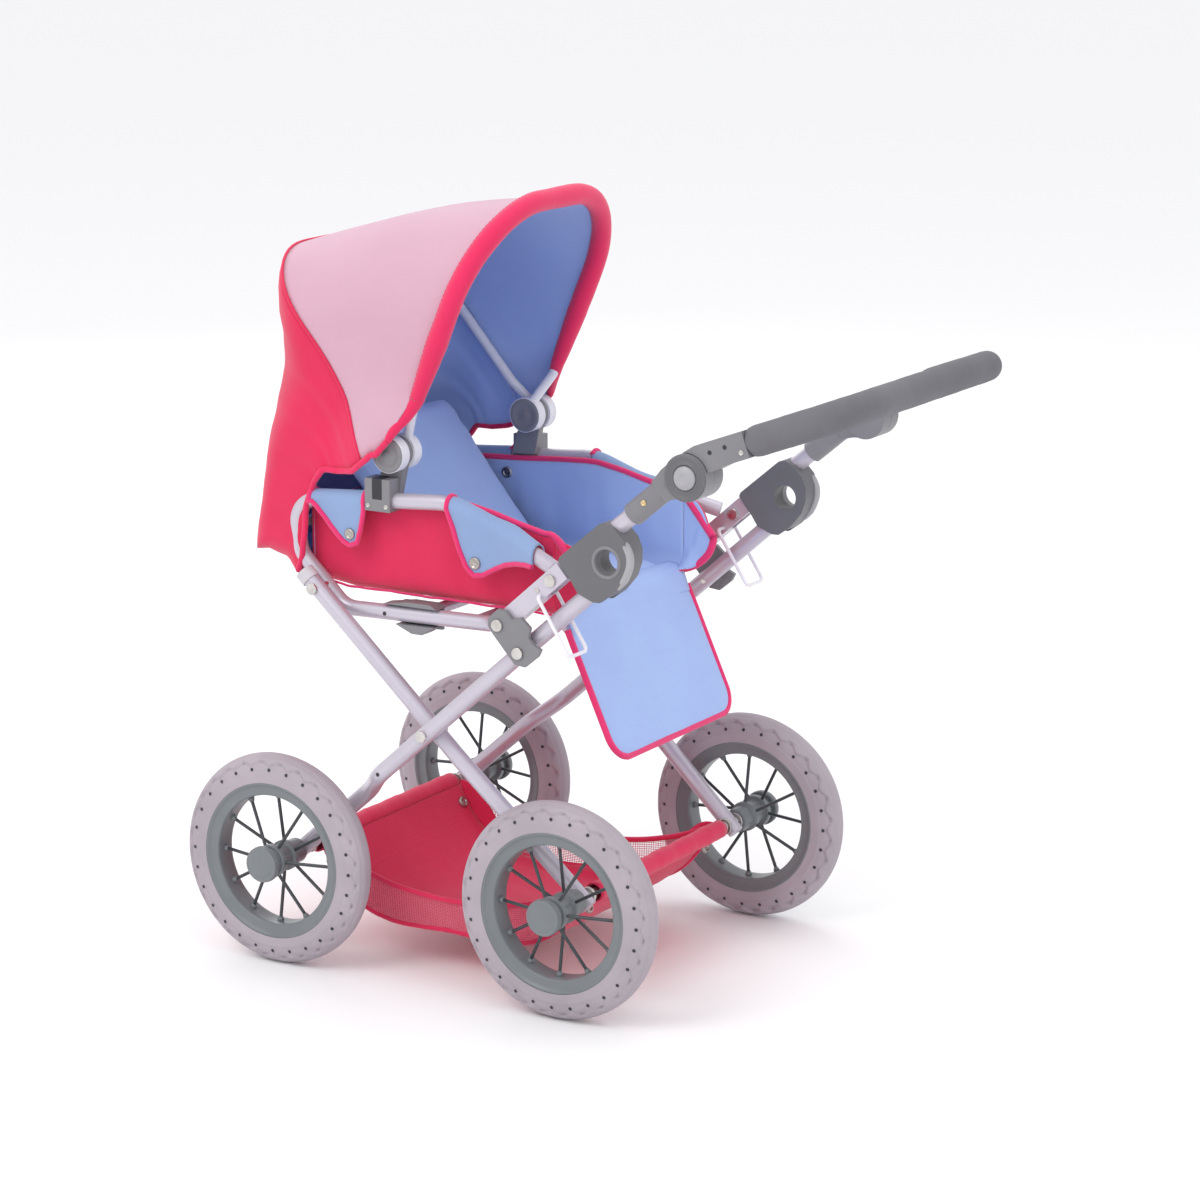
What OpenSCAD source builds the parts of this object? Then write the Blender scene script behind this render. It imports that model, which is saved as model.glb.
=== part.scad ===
// Doll stroller: folding tube chassis on four spoked wheels, fabric seat unit with
// a two-bow hood, sliding fold locks and a push handle with tilting grip.
// X points to the pusher, Z up, Y across. Millimetres. The floor is z = 0.

/* [Wheels] */
// Outer diameter of a tyre
wheel_d = 180; // [176:1:184]
// Width of a tyre
tyre_w = 28; // [24:1:30]
// Diameter where the tyre meets the rim
rim_d = 134; // [130:1:138]
// Inner diameter of the rim
rim_in_d = 110; // [104:1:114]
// Number of wire spokes in a wheel
spoke_n = 12; // [8:2:16]
// Distance from the middle plane to a wheel
wheel_y = 157; // [156:0.5:158]
// Half of the wheelbase
axle_x = 137.3; // [134:0.1:140]
// Diameter of a wheel axle
axle_d = 8; // [7:0.5:8]

/* [Chassis] */
// Diameter of a leg tube
leg_d = 14; // [12:0.5:14]
// Rise of the front leg per unit of length
leg_b_slope = 0.875; // [0.87:0.001:0.88]
// Rise of the rear leg per unit of length
leg_a_slope = 0.915; // [0.91:0.001:0.92]
// Distance from the middle plane to a rear leg at the crossing
leg_a_y = 129.5; // [129:0.1:129.8]
// Distance from the middle plane to a front leg at the crossing
leg_b_y = 144.5; // [144.4:0.1:145]

/* [Seat] */
// Diameter of the seat frame tube
seat_tube_d = 13; // [11:0.5:13]
// Distance from the middle plane to a seat frame tube
seat_tube_y = 112; // [111:0.5:112]
// Half width of the seat bag inside the frame
bag_y = 104; // [100:0.5:104.5]
// Thickness of the fabric shells
cloth_t = 2.5; // [2:0.1:3]

/* [Handle] */
// Distance from the middle plane to a handle tube
handle_y = 147; // [146.5:0.1:147.2]
// Diameter of a handle tube
handle_d = 14; // [12:0.5:14]
// Radius of the tilt joint barrel
joint_r = 18.6; // [17:0.1:19]
// Diameter of the foam grip
grip_d = 25; // [22:0.5:26]
// Bend radius of the grip corners
grip_r = 40; // [34:1:46]

/* [Hood] */
// Length of the front hood bow from its hinge to its top
front_bow_l = 221; // [218:1:223]
// Length of the rear hood bow from its hinge to its top
rear_bow_l = 199; // [196:1:200]
// Diameter of a hood bow
bow_d = 8; // [6:0.5:8]
// Diameter of the padded hood rim
rim_pad_d = 17; // [14:0.5:18]

/* [Hidden] */
$fn = 64;
dx = -78.5;
wr = wheel_d / 2;

// ---- directions and key points, all as [x, z] in the side plane ----
aB = atan(leg_b_slope);
aA = 180 - atan(leg_a_slope);
function B(s, n = 0) = [-axle_x + s * cos(aB) - n * sin(aB), wr + s * sin(aB) + n * cos(aB)];
function A(s, n = 0) = [axle_x + s * cos(aA) - n * sin(aA), wr + s * sin(aA) + n * cos(aA)];
cross_p = [3.07, 212.8];
seat_piv = [-113, 319];
link_top = [81.5, 317];
link_low = [100.4, 296.5];
function U(u, n) = [link_top[0] + u * cos(aB) - n * sin(aB), link_top[1] + u * sin(aB) + n * cos(aB)];
hinge_h = U(62, 0);
aH = 39.9;
function Hf(a, b) = [hinge_h[0] + a * cos(aH) - b * sin(aH), hinge_h[1] + a * sin(aH) + b * cos(aH)];
joint_j = [253.3, 454];
aG = 20.5;
function Jf(v, w) = [joint_j[0] + v * cos(aG) - w * sin(aG), joint_j[1] + v * sin(aG) + w * cos(aG)];
hood_g = [-49.4, 433.9];
front_a = 67;
rear_a = 131;
leg_rest_h = [104, 309];

function p3(p, y) = [p[0], y, p[1]];
function unit(v) = v / norm(v);

// ---- helpers ----
module place() translate([dx, 0, 0]) children();
module side(s) { if (s > 0) children(); else mirror([0, 1, 0]) children(); }
module both() { children(); mirror([0, 1, 0]) children(); }
module rod(p, q, r) {
  d = q - p;
  translate(p) rotate([0, acos(d[2] / norm(d)), atan2(d[1], d[0])]) cylinder(r = r, h = norm(d));
}
// a round pin along Y at side-plane point p, from y0 to y1
module pin(p, y0, y1, r) translate([p[0], y1, p[1]]) rotate([90, 0, 0]) cylinder(r = r, h = y1 - y0);
// a side-plane outline made solid from y0 to y1
module slab(y0, y1) translate([0, y1, 0]) rotate([90, 0, 0]) linear_extrude(height = y1 - y0) children();
module frame_at(c, ex, ey, ez)
  multmatrix([[ex[0], ey[0], ez[0], c[0]], [ex[1], ey[1], ez[1], c[1]], [ex[2], ey[2], ez[2], c[2]], [0, 0, 0, 1]]) children();
function bend_t(p, i, R) = let (a = unit(p[i] - p[i - 1]), b = unit(p[i + 1] - p[i])) R * tan(acos(a * b) / 2);
// a tube of radius r bent at each inner point of p with radii R
module bent_tube(p, r, R) {
  n = len(p);
  for (i = [0:n - 2]) {
    d = unit(p[i + 1] - p[i]);
    a = i == 0 ? p[0] : p[i] + d * bend_t(p, i, R[i - 1]);
    b = i == n - 2 ? p[n - 1] : p[i + 1] - d * bend_t(p, i + 1, R[i]);
    rod(a, b, r);
  }
  for (i = [1:n - 2]) {
    a = unit(p[i] - p[i - 1]);
    b = unit(p[i + 1] - p[i]);
    th = acos(a * b);
    nn = unit(b - a * (a * b));
    Ri = R[i - 1];
    c = p[i] - a * Ri * tan(th / 2) + nn * Ri;
    e = atan(0.4 / Ri);
    frame_at(c, -nn, a, cross(-nn, a)) rotate([0, 0, -e])
      rotate_extrude(angle = th + 2 * e) translate([Ri, 0]) circle(r = r + 0.04);
  }
}

// ---- chassis, front body ----
module front_leg(s) color("lightsteelblue") place() side(s) difference() {
  bent_tube([p3(B(-9), 122), p3(B(92), 122), p3(B(124), leg_b_y), p3(B(398), leg_b_y)], leg_d / 2, [30, 30]);
  pin(B(0), 110, 131, axle_d / 2 + 0.02);
  pin(cross_p, 135, 155, 2.52);
  pin(link_low, 135, 155, 2.57);
}
module front_leg_left() front_leg(-1);
module front_leg_right() front_leg(1);
module axle(x) color("gray") place() {
  pin([x, wr], -179, 179, axle_d / 2);
  both() { pin([x, wr], 129.3, 130.7, 8); pin([x, wr], 111, 114.1, 7); }
}
module front_axle() axle(-axle_x);
module cross_pivots() color("silver") place() both() {
  pin(cross_p, 119, 152.5, 2.5);
  pin(cross_p, 151.6, 153.6, 5);
  pin(cross_p, 119, 122.1, 5);
}
// basket: a tub of fabric hung from sleeves round the two axles
module basket() color("crimson") place() {
  difference() {
    hull() {
      translate([-axle_x + 8, -113, 88]) cube([2 * axle_x - 16, 226, 4]);
      translate([-98, -104, 24]) cube([196, 208, 4]);
    }
    hull() {
      translate([-axle_x + 8 + cloth_t, -113 + cloth_t, 90]) cube([2 * axle_x - 16 - 2 * cloth_t, 226 - 2 * cloth_t, 4]);
      translate([-98 + cloth_t, -104 + cloth_t, 24 + cloth_t]) cube([196 - 2 * cloth_t, 208 - 2 * cloth_t, 4]);
    }
  }
  for (m = [-1, 1]) difference() {
    translate([m * axle_x, 104, wr]) rotate([90, 0, 0]) cylinder(r = 8.6, h = 208);
    translate([m * axle_x, 105, wr]) rotate([90, 0, 0]) cylinder(r = axle_d / 2 + 1, h = 210);
  }
}
module basket_snaps() color("silver") place() both() for (m = [-1, 1])
  translate([m * 125.2, 98, 78]) rotate([0, 90 - m * 24, 0]) translate([0, 0, -3.2]) cylinder(r = 5, h = 6.4);

// ---- chassis, rear body ----
module rear_leg(s) color("lightsteelblue") place() side(s) difference() {
  bent_tube([p3(A(-9), 121.3), p3(A(150), leg_a_y), p3(A(354), leg_a_y)], leg_d / 2, [300]);
  pin(A(0), 110, 131, axle_d / 2 + 0.02);
  pin(cross_p, 120, 139, 2.57);
  pin(seat_piv, 120, 139, 2.57);
}
module rear_leg_left() rear_leg(-1);
module rear_leg_right() rear_leg(1);
module rear_leg_caps() color("silver") place() both() difference() {
  rod(p3(A(347), leg_a_y), p3(A(357), leg_a_y), 8.1);
  rod(p3(A(346), leg_a_y), p3(A(354.1), leg_a_y), leg_d / 2 + 0.03);
}
module rear_axle() axle(axle_x);

// ---- wheels ----
module wheel_at(x, s) place() translate([x, s * wheel_y, wr]) rotate([90 * (s > 0 ? -1 : 1), 0, 0]) children();
// local: z is the wheel axis pointing outwards
module tyre_shape() color("thistle") rotate_extrude($fn = 96) difference() {
  union() {
    translate([wr - tyre_w / 2, 0]) circle(r = tyre_w / 2);
    translate([rim_d / 2, -tyre_w / 2 + 0.8]) square([wr - tyre_w / 2 - rim_d / 2, tyre_w - 1.6]);
  }
  translate([rim_d / 2 - 10, -tyre_w]) square([10, 2 * tyre_w]);
}
module rim_shape() color("gray") rotate_extrude($fn = 96)
  polygon([[rim_in_d / 2, -10], [rim_in_d / 2 + 2, -12.5], [rim_d / 2 - 0.05, -12.5], [rim_d / 2 - 0.05, 12.5], [rim_in_d / 2 + 2, 12.5], [rim_in_d / 2, 10]]);
module spokes_shape() color("dimgray") for (i = [0:spoke_n - 1]) {
  z0 = i % 2 == 0 ? 11 : -8;
  a = i * 360 / spoke_n;
  rod([9 * cos(a), 9 * sin(a), z0], [(rim_in_d / 2 + 1.5) * cos(a), (rim_in_d / 2 + 1.5) * sin(a), 0], 1.4);
}
module hub_shape() color("gray") difference() {
  union() {
    translate([0, 0, -26]) cylinder(r = 10.5, h = 48);
    translate([0, 0, 8]) cylinder(r = 14, h = 6);
    translate([0, 0, -11]) cylinder(r = 13, h = 6);
    translate([0, 0, 20]) cylinder(r = 15, h = 6.5);
  }
  translate([0, 0, -27]) cylinder(r = axle_d / 2 + 0.06, h = 50);
}
module front_left_tyre() wheel_at(-axle_x, -1) tyre_shape();
module front_left_rim() wheel_at(-axle_x, -1) rim_shape();
module front_left_spokes() wheel_at(-axle_x, -1) spokes_shape();
module front_left_hub() wheel_at(-axle_x, -1) hub_shape();
module front_right_tyre() wheel_at(-axle_x, 1) tyre_shape();
module front_right_rim() wheel_at(-axle_x, 1) rim_shape();
module front_right_spokes() wheel_at(-axle_x, 1) spokes_shape();
module front_right_hub() wheel_at(-axle_x, 1) hub_shape();
module rear_left_tyre() wheel_at(axle_x, -1) tyre_shape();
module rear_left_rim() wheel_at(axle_x, -1) rim_shape();
module rear_left_spokes() wheel_at(axle_x, -1) spokes_shape();
module rear_left_hub() wheel_at(axle_x, -1) hub_shape();
module rear_right_tyre() wheel_at(axle_x, 1) tyre_shape();
module rear_right_rim() wheel_at(axle_x, 1) rim_shape();
module rear_right_spokes() wheel_at(axle_x, 1) spokes_shape();
module rear_right_hub() wheel_at(axle_x, 1) hub_shape();

// ---- seat unit ----
sy = seat_tube_y;
module seat_tube(s) color("lightsteelblue") place() side(s) difference() {
  bent_tube([[119.5, 133.4, 361.8], [60, sy, 380.5], [8, sy, 399.5], [-147, sy, 388], [-141, sy, 342], [-97, sy, 300.5], [46, sy, 304], [78, 134.1, 315.7]],
    seat_tube_d / 2, [30, 60, 22, 24, 24, 20]);
  pin(seat_piv, 100, 125, 2.52);
}
module seat_tube_left() seat_tube(-1);
module seat_tube_right() seat_tube(1);
module seat_cross_tubes() color("lightsteelblue") place() {
  rod([-24, -sy + seat_tube_d / 2 - 0.6, 302.3], [-24, sy - seat_tube_d / 2 + 0.6, 302.3], 5);
  rod([30, -sy + seat_tube_d / 2 - 0.6, 303.6], [30, sy - seat_tube_d / 2 + 0.6, 303.6], 5);
  rod([-144.3, -sy + seat_tube_d / 2 - 0.6, 366], [-144.3, sy - seat_tube_d / 2 + 0.6, 366], 4.5);
}
module seat_clamps() color("dimgray") place() both() difference() {
  union() {
    slab(sy - 7.6, sy + 6) polygon([[-56, 309.7], [-32, 313.6], [-10, 313.6], [-3, 309.9]]);
    slab(sy - 10, sy + 6) polygon([[-44, 294], [-28, 287.5], [-18, 287.5], [-6, 295]]);
    slab(sy - 10, sy - 6.9) polygon([[-44, 290], [-6, 291], [-6, 312], [-44, 312]]);
  }
  bent_tube([[-147, sy, 388], [-141, sy, 342], [-97, sy, 300.5], [46, sy, 304]], seat_tube_d / 2 + 0.02, [24, 24]);
  rod([-24, 90, 302.3], [-24, sy, 302.3], 5.02);
}
// flat bar with a forked end that holds the handle tube
module handle_bar(s) color("lightsteelblue") place() side(s) difference() {
  slab(139.6, 154.4) union() {
    translate(link_top) rotate(aB) translate([0, -7.5]) square([76, 15]);
    translate(link_top) circle(r = 7.45);
  }
  // fork slot for the flattened tube end
  slab(142.7, 151.3) translate(hinge_h) rotate(aB) translate([-12, -20]) square([60, 40]);
  slab(142.7, 151.3) translate(hinge_h) circle(r = 12.5);
  pin(hinge_h, 130, 160, 2.52);
}
module handle_bar_left() handle_bar(-1);
module handle_bar_right() handle_bar(1);
module frame_rivets() color("silver") place() both() {
  // seat pivot: fixed in the seat tube, turning in the rear leg
  pin(seat_piv, sy - 4, 138.2, 2.5);
  pin(seat_piv, 136.9, 139, 5);
  // handle hinge pin
  pin(hinge_h, 139.7, 154.6, 2.5);
  pin(hinge_h, 154.4, 156.4, 5);
  pin(hinge_h, 137.6, 139.6, 5);
  // tube end screws
  pin(U(47, 1), 154.4, 155.4, 2);
}
// rear-side outline of the seat bag
module bag_outline(o) polygon([[-138 + o, 317 + o], [-100, 313 + o], [98, 313 + o], [114, 317], [129, 336], [118, 373], [66, 387], [14, 397], [-60, 393], [-132, 386], [-138 + o, 380]]);
module seat_bag() color("crimson") place() {
  difference() {
    slab(-bag_y, bag_y) bag_outline(0);
    slab(-bag_y + cloth_t, bag_y - cloth_t) polygon([[-138 + cloth_t, 317 + cloth_t], [-100, 313 + cloth_t], [97, 313 + cloth_t], [200, 340], [200, 450], [-138 + cloth_t, 450]]);
  }
  both() {
    slab(sy + 7, sy + 8.5) polygon([[9, 399], [33, 345], [52, 343], [76, 350], [84, 358], [60, 372]]);
    slab(sy + 7, sy + 8.5) polygon([[-126, 394], [-86, 355], [-72, 398]]);
  }
}
module seat_pad() color("lightblue") place() slab(-94, 94)
  polygon([[-33, 318.5], [99, 316.2], [103, 318], [101, 324.5], [-26, 327], [-62, 366], [-132, 452], [-139, 447], [-72, 364]]);
module hood_mount(s) color("dimgray") place() side(s) difference() {
  union() {
    slab(100.4, 107.6) translate(hood_g) circle(r = 13);
    slab(100.4, 107.6) polygon([[-69, 397.5], [-46, 398.5], [-40, 425], [-60, 428]]);
    slab(104.6, 121.6) polygon([[-70, 387], [-45.5, 387], [-45.5, 414], [-70, 414]]);
  }
  bent_tube([[60, sy, 380.5], [8, sy, 399.5], [-147, sy, 388], [-141, sy, 342]], seat_tube_d / 2 + 0.02, [60, 22]);
  pin(hood_g, 90, 120, 3.06);
  slab(107.6, 130) translate(hood_g) circle(r = 16);
}
module hood_mount_left() hood_mount(-1);
module hood_mount_right() hood_mount(1);
// fabric round the head end: two side wings and the back
module hood_back_panel() color("crimson") place() difference() {
  slab(-122, 122) polygon([[-60, 429], [-103, 499], [-140, 551], [-184, 592], [-190.5, 585], [-190.5, 341], [-145, 326], [-132, 391], [-104, 414], [-66, 423]]);
  slab(-122 + cloth_t, 122 - cloth_t) polygon([[0, 300], [-190.5 + cloth_t, 300], [-190.5 + cloth_t, 700], [0, 700]]);
}
module seat_snaps() color("silver") place() both() {
  pin([36, 354], sy + 8.5, sy + 10.2, 5);
  pin([-86, 366], sy + 8.5, sy + 10.2, 5);
  pin([-74, 381], bag_y - cloth_t - 1.5, bag_y - cloth_t, 5);
}
module bag_hooks() color("white") place() both()
  bent_tube([p3(U(46, -3.5), 146), p3(U(46, -3.5), 158.2), p3(U(38, -57), 158.2), p3(U(38, -57), 130.5), p3(U(46, -3.5), 130.5), p3(U(46, -3.5), 145.9)], 1.5, [4, 5, 5, 4]);

// ---- fold links ----
module link_plates() color("dimgray") place() both() difference() {
  union() {
    slab(154.8, 158.6) translate(link_top) rotate(aB) polygon([[-8, 5], [-3, 9.5], [9, 9.8], [13.6, 4.3], [14, -4], [22, -8], [23.4, -19], [17, -24], [17, -31], [20, -38], [14, -40.5], [-1.5, -40.1], [-8, -33], [-8.5, -3]]);
    pin(link_low, 151.8, 155, 8);
  }
  pin(link_top, 150, 160, 2.52);
  pin(link_low, 150, 160, 2.52);
}
module link_rivets() color("silver") place() both() {
  pin(link_low, 137.2, 159, 2.5);
  pin(link_low, 158.6, 160.8, 5);
  pin(link_top, 154.9, 159, 2.5);
  pin(link_top, 158.6, 160.8, 5);
}

// ---- folding handle, lower half ----
hy = handle_y;
module handle_tube(s) color("lightsteelblue") place() side(s) difference() {
  union() {
    rod(p3(Hf(17, 0), hy), p3(Hf(132, 0), hy), handle_d / 2);
    slab(hy - 4, hy + 4) translate(hinge_h) rotate(aH) translate([0, -6.6]) square([17.4, 13.2]);
    slab(hy - 4, hy + 4) translate(hinge_h) circle(r = 6.6);
  }
  pin(hinge_h, 135, 160, 2.57);
}
module handle_tube_left() handle_tube(-1);
module handle_tube_right() handle_tube(1);
module joint_sleeve(s) color("gray") place() side(s) difference() {
  union() {
    rod(p3(Hf(93, 0), hy), p3(Hf(136, 0), hy), 9.5);
    slab(hy - 9.3, hy + 9.3) translate(hinge_h) rotate(aH) polygon([[128, -9], [128, 9], [141, 11.5], [158, 11.8], [158, -23.5], [150, -23.5], [138, -14]]);
    slab(148.9, 161.5) translate(joint_j) circle(r = joint_r);
  }
  rod(p3(Hf(90, 0), hy), p3(Hf(132.1, 0), hy), handle_d / 2 + 0.03);
  slab(100, 148.9) translate(joint_j) circle(r = joint_r + 0.6);
  slab(148.9, 170) difference() {
    translate(joint_j) rotate(aH) translate([0, -50]) square([60, 100]);
    translate(joint_j) circle(r = joint_r);
  }
  pin(joint_j, 140, 150, 6.06);
  pin(joint_j, 149.9, 163, 9.6);
}
module joint_sleeve_left() joint_sleeve(-1);
module joint_sleeve_right() joint_sleeve(1);
// sliding lock: a sleeve on the handle tube, a saddle over the front leg, a finger ring
module fold_lock(s) color("dimgray") place() side(s) difference() {
  slab(134.4, 156.6) translate(hinge_h) rotate(aH) polygon([[17.6, 8], [21, 9.6], [68, 9.6], [73.5, 7], [77, -1], [78, -13], [75, -23], [68, -31], [58, -37], [42, -40], [28, -39], [23, -35], [16, -22], [17.6, -8]]);
  rod(p3(Hf(10, 0), hy), p3(Hf(90, 0), hy), handle_d / 2 + 0.06);
  pin(Hf(53.5, -17.5), 130, 160, 10.4);
  // channel over the end of the front leg, open below and behind
  slab(136.7, 152.3) translate(hinge_h) rotate(aH) polygon([[0, -14.4], [36.5, -14.4], [36.5, -60], [0, -60]]);
}
module fold_lock_left() fold_lock(-1);
module fold_lock_right() fold_lock(1);

// ---- tilting grip ----
module grip_arm(s) color("gray") place() side(s) {
  difference() {
    union() {
      slab(135.2, 148.6) translate(joint_j) circle(r = joint_r);
      slab(137, 159) translate(joint_j) rotate(aG) polygon([[0, 0.6], [22, -1.5], [34, 0.2], [58, 0.2], [58, 21.4], [14, 21.4], [0, 18.4]]);
    }
    slab(148.6, 170) translate(joint_j) circle(r = joint_r + 0.4);
    rod(p3(Jf(27, 10.8), 148), p3(Jf(70, 10.8), 148), 8.03);
  }
  pin(joint_j, 148.4, 152, 6);
}
module grip_arm_left() grip_arm(-1);
module grip_arm_right() grip_arm(1);
gp = [p3(Jf(30, 10.8), 148), p3(Jf(130.6, 10.8), 148), p3(Jf(130.6, 10.8), -148), p3(Jf(30, 10.8), -148)];
gq = [p3(Jf(58.1, 10.8), 148), p3(Jf(130.6, 10.8), 148), p3(Jf(130.6, 10.8), -148), p3(Jf(58.1, 10.8), -148)];
module grip_tube() color("silver") place() bent_tube(gp, 8, [grip_r, grip_r]);
module grip_foam() color("gray") place() difference() {
  bent_tube(gq, grip_d / 2, [grip_r, grip_r]);
  bent_tube(gp, 8.04, [grip_r, grip_r]);
}
module tilt_button(s) color("gray") place() side(s) {
  pin(joint_j, 155.5, 163.6, 9.4);
}
module tilt_button_left() tilt_button(-1);
module tilt_button_right() tilt_button(1);

// ---- hood ----
function G(a, r, o = 0) = [hood_g[0] + r * cos(a) - o * sin(a), hood_g[1] + r * sin(a) + o * cos(a)];
module hood_rear_bow() color("whitesmoke") place() {
  bent_tube([p3(G(rear_a, 12), 112), p3(G(rear_a, 34), 105.5), p3(G(rear_a, rear_bow_l), 105.5), p3(G(rear_a, rear_bow_l), -105.5), p3(G(rear_a, 34), -105.5), p3(G(rear_a, 12), -112)],
    bow_d / 2, [20, 72, 72, 20]);
  both() {
    slab(107.9, 118) translate(hood_g) circle(r = 15);
    pin(hood_g, 92, 108.5, 3);
  }
}
// the U of the front bow, leaning forward of its hinge
fb = [p3(G(front_a, 12), 95.2), p3(G(front_a, 40, -3), 108.5), p3(G(front_a, front_bow_l, -3), 108.5), p3(G(front_a, front_bow_l, -3), -108.5), p3(G(front_a, 40, -3), -108.5), p3(G(front_a, 12), -95.2)];
module hood_front_bow() color("whitesmoke") place() {
  bent_tube(fb, bow_d / 2, [20, 84, 84, 20]);
  both() difference() {
    slab(90, 100.1) translate(hood_g) circle(r = 15);
    pin(hood_g, 89, 101, 3.06);
  }
}
fr = [p3(G(front_a, 46, -3), 108.5), p3(G(front_a, front_bow_l, -3), 108.5), p3(G(front_a, front_bow_l, -3), -108.5), p3(G(front_a, 46, -3), -108.5)];
module hood_rim() color("hotpink") place() difference() {
  bent_tube(fr, rim_pad_d / 2, [84, 84]);
  bent_tube(fb, bow_d / 2 + 0.06, [20, 84, 84, 20]);
}
// hood top: a skin of U sections between the two bows
hood_m = 8;
hood_k = 20;
function sg(v) = v < 0 ? -1 : 1;
function hsec(a, R, yw, off) = [for (i = [-1:hood_k + 1]) let (t = 4 + 172 * i / hood_k, c = i < 0 ? 1 : i > hood_k ? -1 : cos(t), y = yw * sg(c) * pow(abs(c), 0.46), r = i < 0 || i > hood_k ? 34 : R * pow(sin(t), 0.38), p = G(a, r, off)) [p[0], y, p[1]]];
// the top follows the straight line from the front bow to the rear bow, a little crowned
function chord(a, p, q) = p * q * sin(rear_a - front_a) / (p * sin(a - front_a) + q * sin(rear_a - a));
function hrow(j, sh) = let (f = j / hood_m, a = front_a + f * (rear_a - front_a)) hsec(a, chord(a, front_bow_l - 1, rear_bow_l + 7.7) + 8 * sin(180 * f) - sh, 115.5 - sh, 9.5 * (1 - f) * (1 - f));
hood_pts = concat([for (j = [0:hood_m]) each hrow(j, 0)], [for (j = [0:hood_m]) each hrow(j, cloth_t)]);
hn = hood_k + 3;
hN = hn * (hood_m + 1);
function q4(a, b, c, d) = [[a, b, c], [a, c, d]];
hood_faces = concat(
  [for (j = [0:hood_m - 1]) for (i = [0:hood_k + 1]) each q4(j * hn + i, j * hn + i + 1, (j + 1) * hn + i + 1, (j + 1) * hn + i)],
  [for (j = [0:hood_m - 1]) for (i = [0:hood_k + 1]) each q4(hN + j * hn + i, hN + (j + 1) * hn + i, hN + (j + 1) * hn + i + 1, hN + j * hn + i + 1)],
  [for (i = [0:hood_k + 1]) each q4(i, hN + i, hN + i + 1, i + 1)],
  [for (i = [0:hood_k + 1]) each q4(hood_m * hn + i, hood_m * hn + i + 1, hN + hood_m * hn + i + 1, hN + hood_m * hn + i)],
  [for (j = [0:hood_m - 1]) each q4(j * hn, (j + 1) * hn, hN + (j + 1) * hn, hN + j * hn)],
  [for (j = [0:hood_m - 1]) each q4(j * hn + hn - 1, hN + j * hn + hn - 1, hN + (j + 1) * hn + hn - 1, (j + 1) * hn + hn - 1)]);
module hood_top_panel() color("rosybrown") place() polyhedron(points = hood_pts, faces = hood_faces, convexity = 6);

// ---- leg rest ----
module leg_rest() color("lightblue") place() slab(-98, 98)
  union() {
    polygon([[103, 307.8], [105, 310.4], [112, 307], [158, 203], [155, 199], [150.5, 200.5], [105.5, 305]]);
    translate(leg_rest_h) circle(r = 1.8);
  }

front_leg_left();
front_leg_right();
front_axle();
cross_pivots();
basket();
basket_snaps();
rear_leg_left();
rear_leg_right();
rear_leg_caps();
rear_axle();
seat_tube_left();
seat_tube_right();
seat_cross_tubes();
seat_clamps();
handle_bar_left();
handle_bar_right();
frame_rivets();
seat_bag();
seat_pad();
hood_mount_left();
hood_mount_right();
hood_back_panel();
seat_snaps();
bag_hooks();
link_plates();
link_rivets();
front_left_tyre();
front_left_rim();
front_left_spokes();
front_left_hub();
front_right_tyre();
front_right_rim();
front_right_spokes();
front_right_hub();
rear_left_tyre();
rear_left_rim();
rear_left_spokes();
rear_left_hub();
rear_right_tyre();
rear_right_rim();
rear_right_spokes();
rear_right_hub();
handle_tube_left();
handle_tube_right();
joint_sleeve_left();
joint_sleeve_right();
fold_lock_left();
fold_lock_right();
grip_arm_left();
grip_arm_right();
grip_tube();
grip_foam();
tilt_button_left();
tilt_button_right();
hood_rear_bow();
hood_top_panel();
hood_front_bow();
hood_rim();
leg_rest();
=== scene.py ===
"""Looks of the doll stroller: fabric, tyres, rims, foam, materials, light and camera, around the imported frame."""
import math
import random

import bmesh
import bpy
import numpy as np
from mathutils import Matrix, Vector


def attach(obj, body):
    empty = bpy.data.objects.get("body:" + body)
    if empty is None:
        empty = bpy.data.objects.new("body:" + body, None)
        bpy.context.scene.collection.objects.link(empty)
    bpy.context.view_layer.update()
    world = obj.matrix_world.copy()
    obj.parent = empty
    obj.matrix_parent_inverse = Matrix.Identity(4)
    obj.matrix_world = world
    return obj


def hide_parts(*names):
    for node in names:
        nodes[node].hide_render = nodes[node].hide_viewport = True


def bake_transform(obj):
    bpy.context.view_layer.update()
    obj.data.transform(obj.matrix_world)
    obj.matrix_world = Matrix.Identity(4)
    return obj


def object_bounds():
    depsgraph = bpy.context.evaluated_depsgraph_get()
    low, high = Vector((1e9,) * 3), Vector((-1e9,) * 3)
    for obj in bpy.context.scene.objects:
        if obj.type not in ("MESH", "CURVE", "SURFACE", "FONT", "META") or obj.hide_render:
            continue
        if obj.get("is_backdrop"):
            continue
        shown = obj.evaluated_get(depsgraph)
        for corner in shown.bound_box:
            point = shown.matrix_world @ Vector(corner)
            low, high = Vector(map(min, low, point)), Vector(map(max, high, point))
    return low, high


random.seed(7)
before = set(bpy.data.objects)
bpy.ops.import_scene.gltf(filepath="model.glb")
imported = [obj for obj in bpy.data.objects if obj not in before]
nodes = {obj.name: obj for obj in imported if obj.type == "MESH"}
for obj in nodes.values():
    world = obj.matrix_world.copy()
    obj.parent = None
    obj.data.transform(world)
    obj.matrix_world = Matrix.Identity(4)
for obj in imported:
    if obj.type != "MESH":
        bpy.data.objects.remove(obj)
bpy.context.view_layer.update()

DX = -78.5
D = math.radians


def F(x, y, z):
    """A point written in millimetres from the middle of the wheelbase, as metres in the row frame."""
    return Vector(((x + DX) / 1000, y / 1000, z / 1000))


# ------------------------------------------------------------------ materials
def srgb(r, g, b):
    def lin(v):
        v /= 255
        return v / 12.92 if v <= 0.04045 else ((v + 0.055) / 1.055) ** 2.4
    return (lin(r), lin(g), lin(b), 1)


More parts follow.
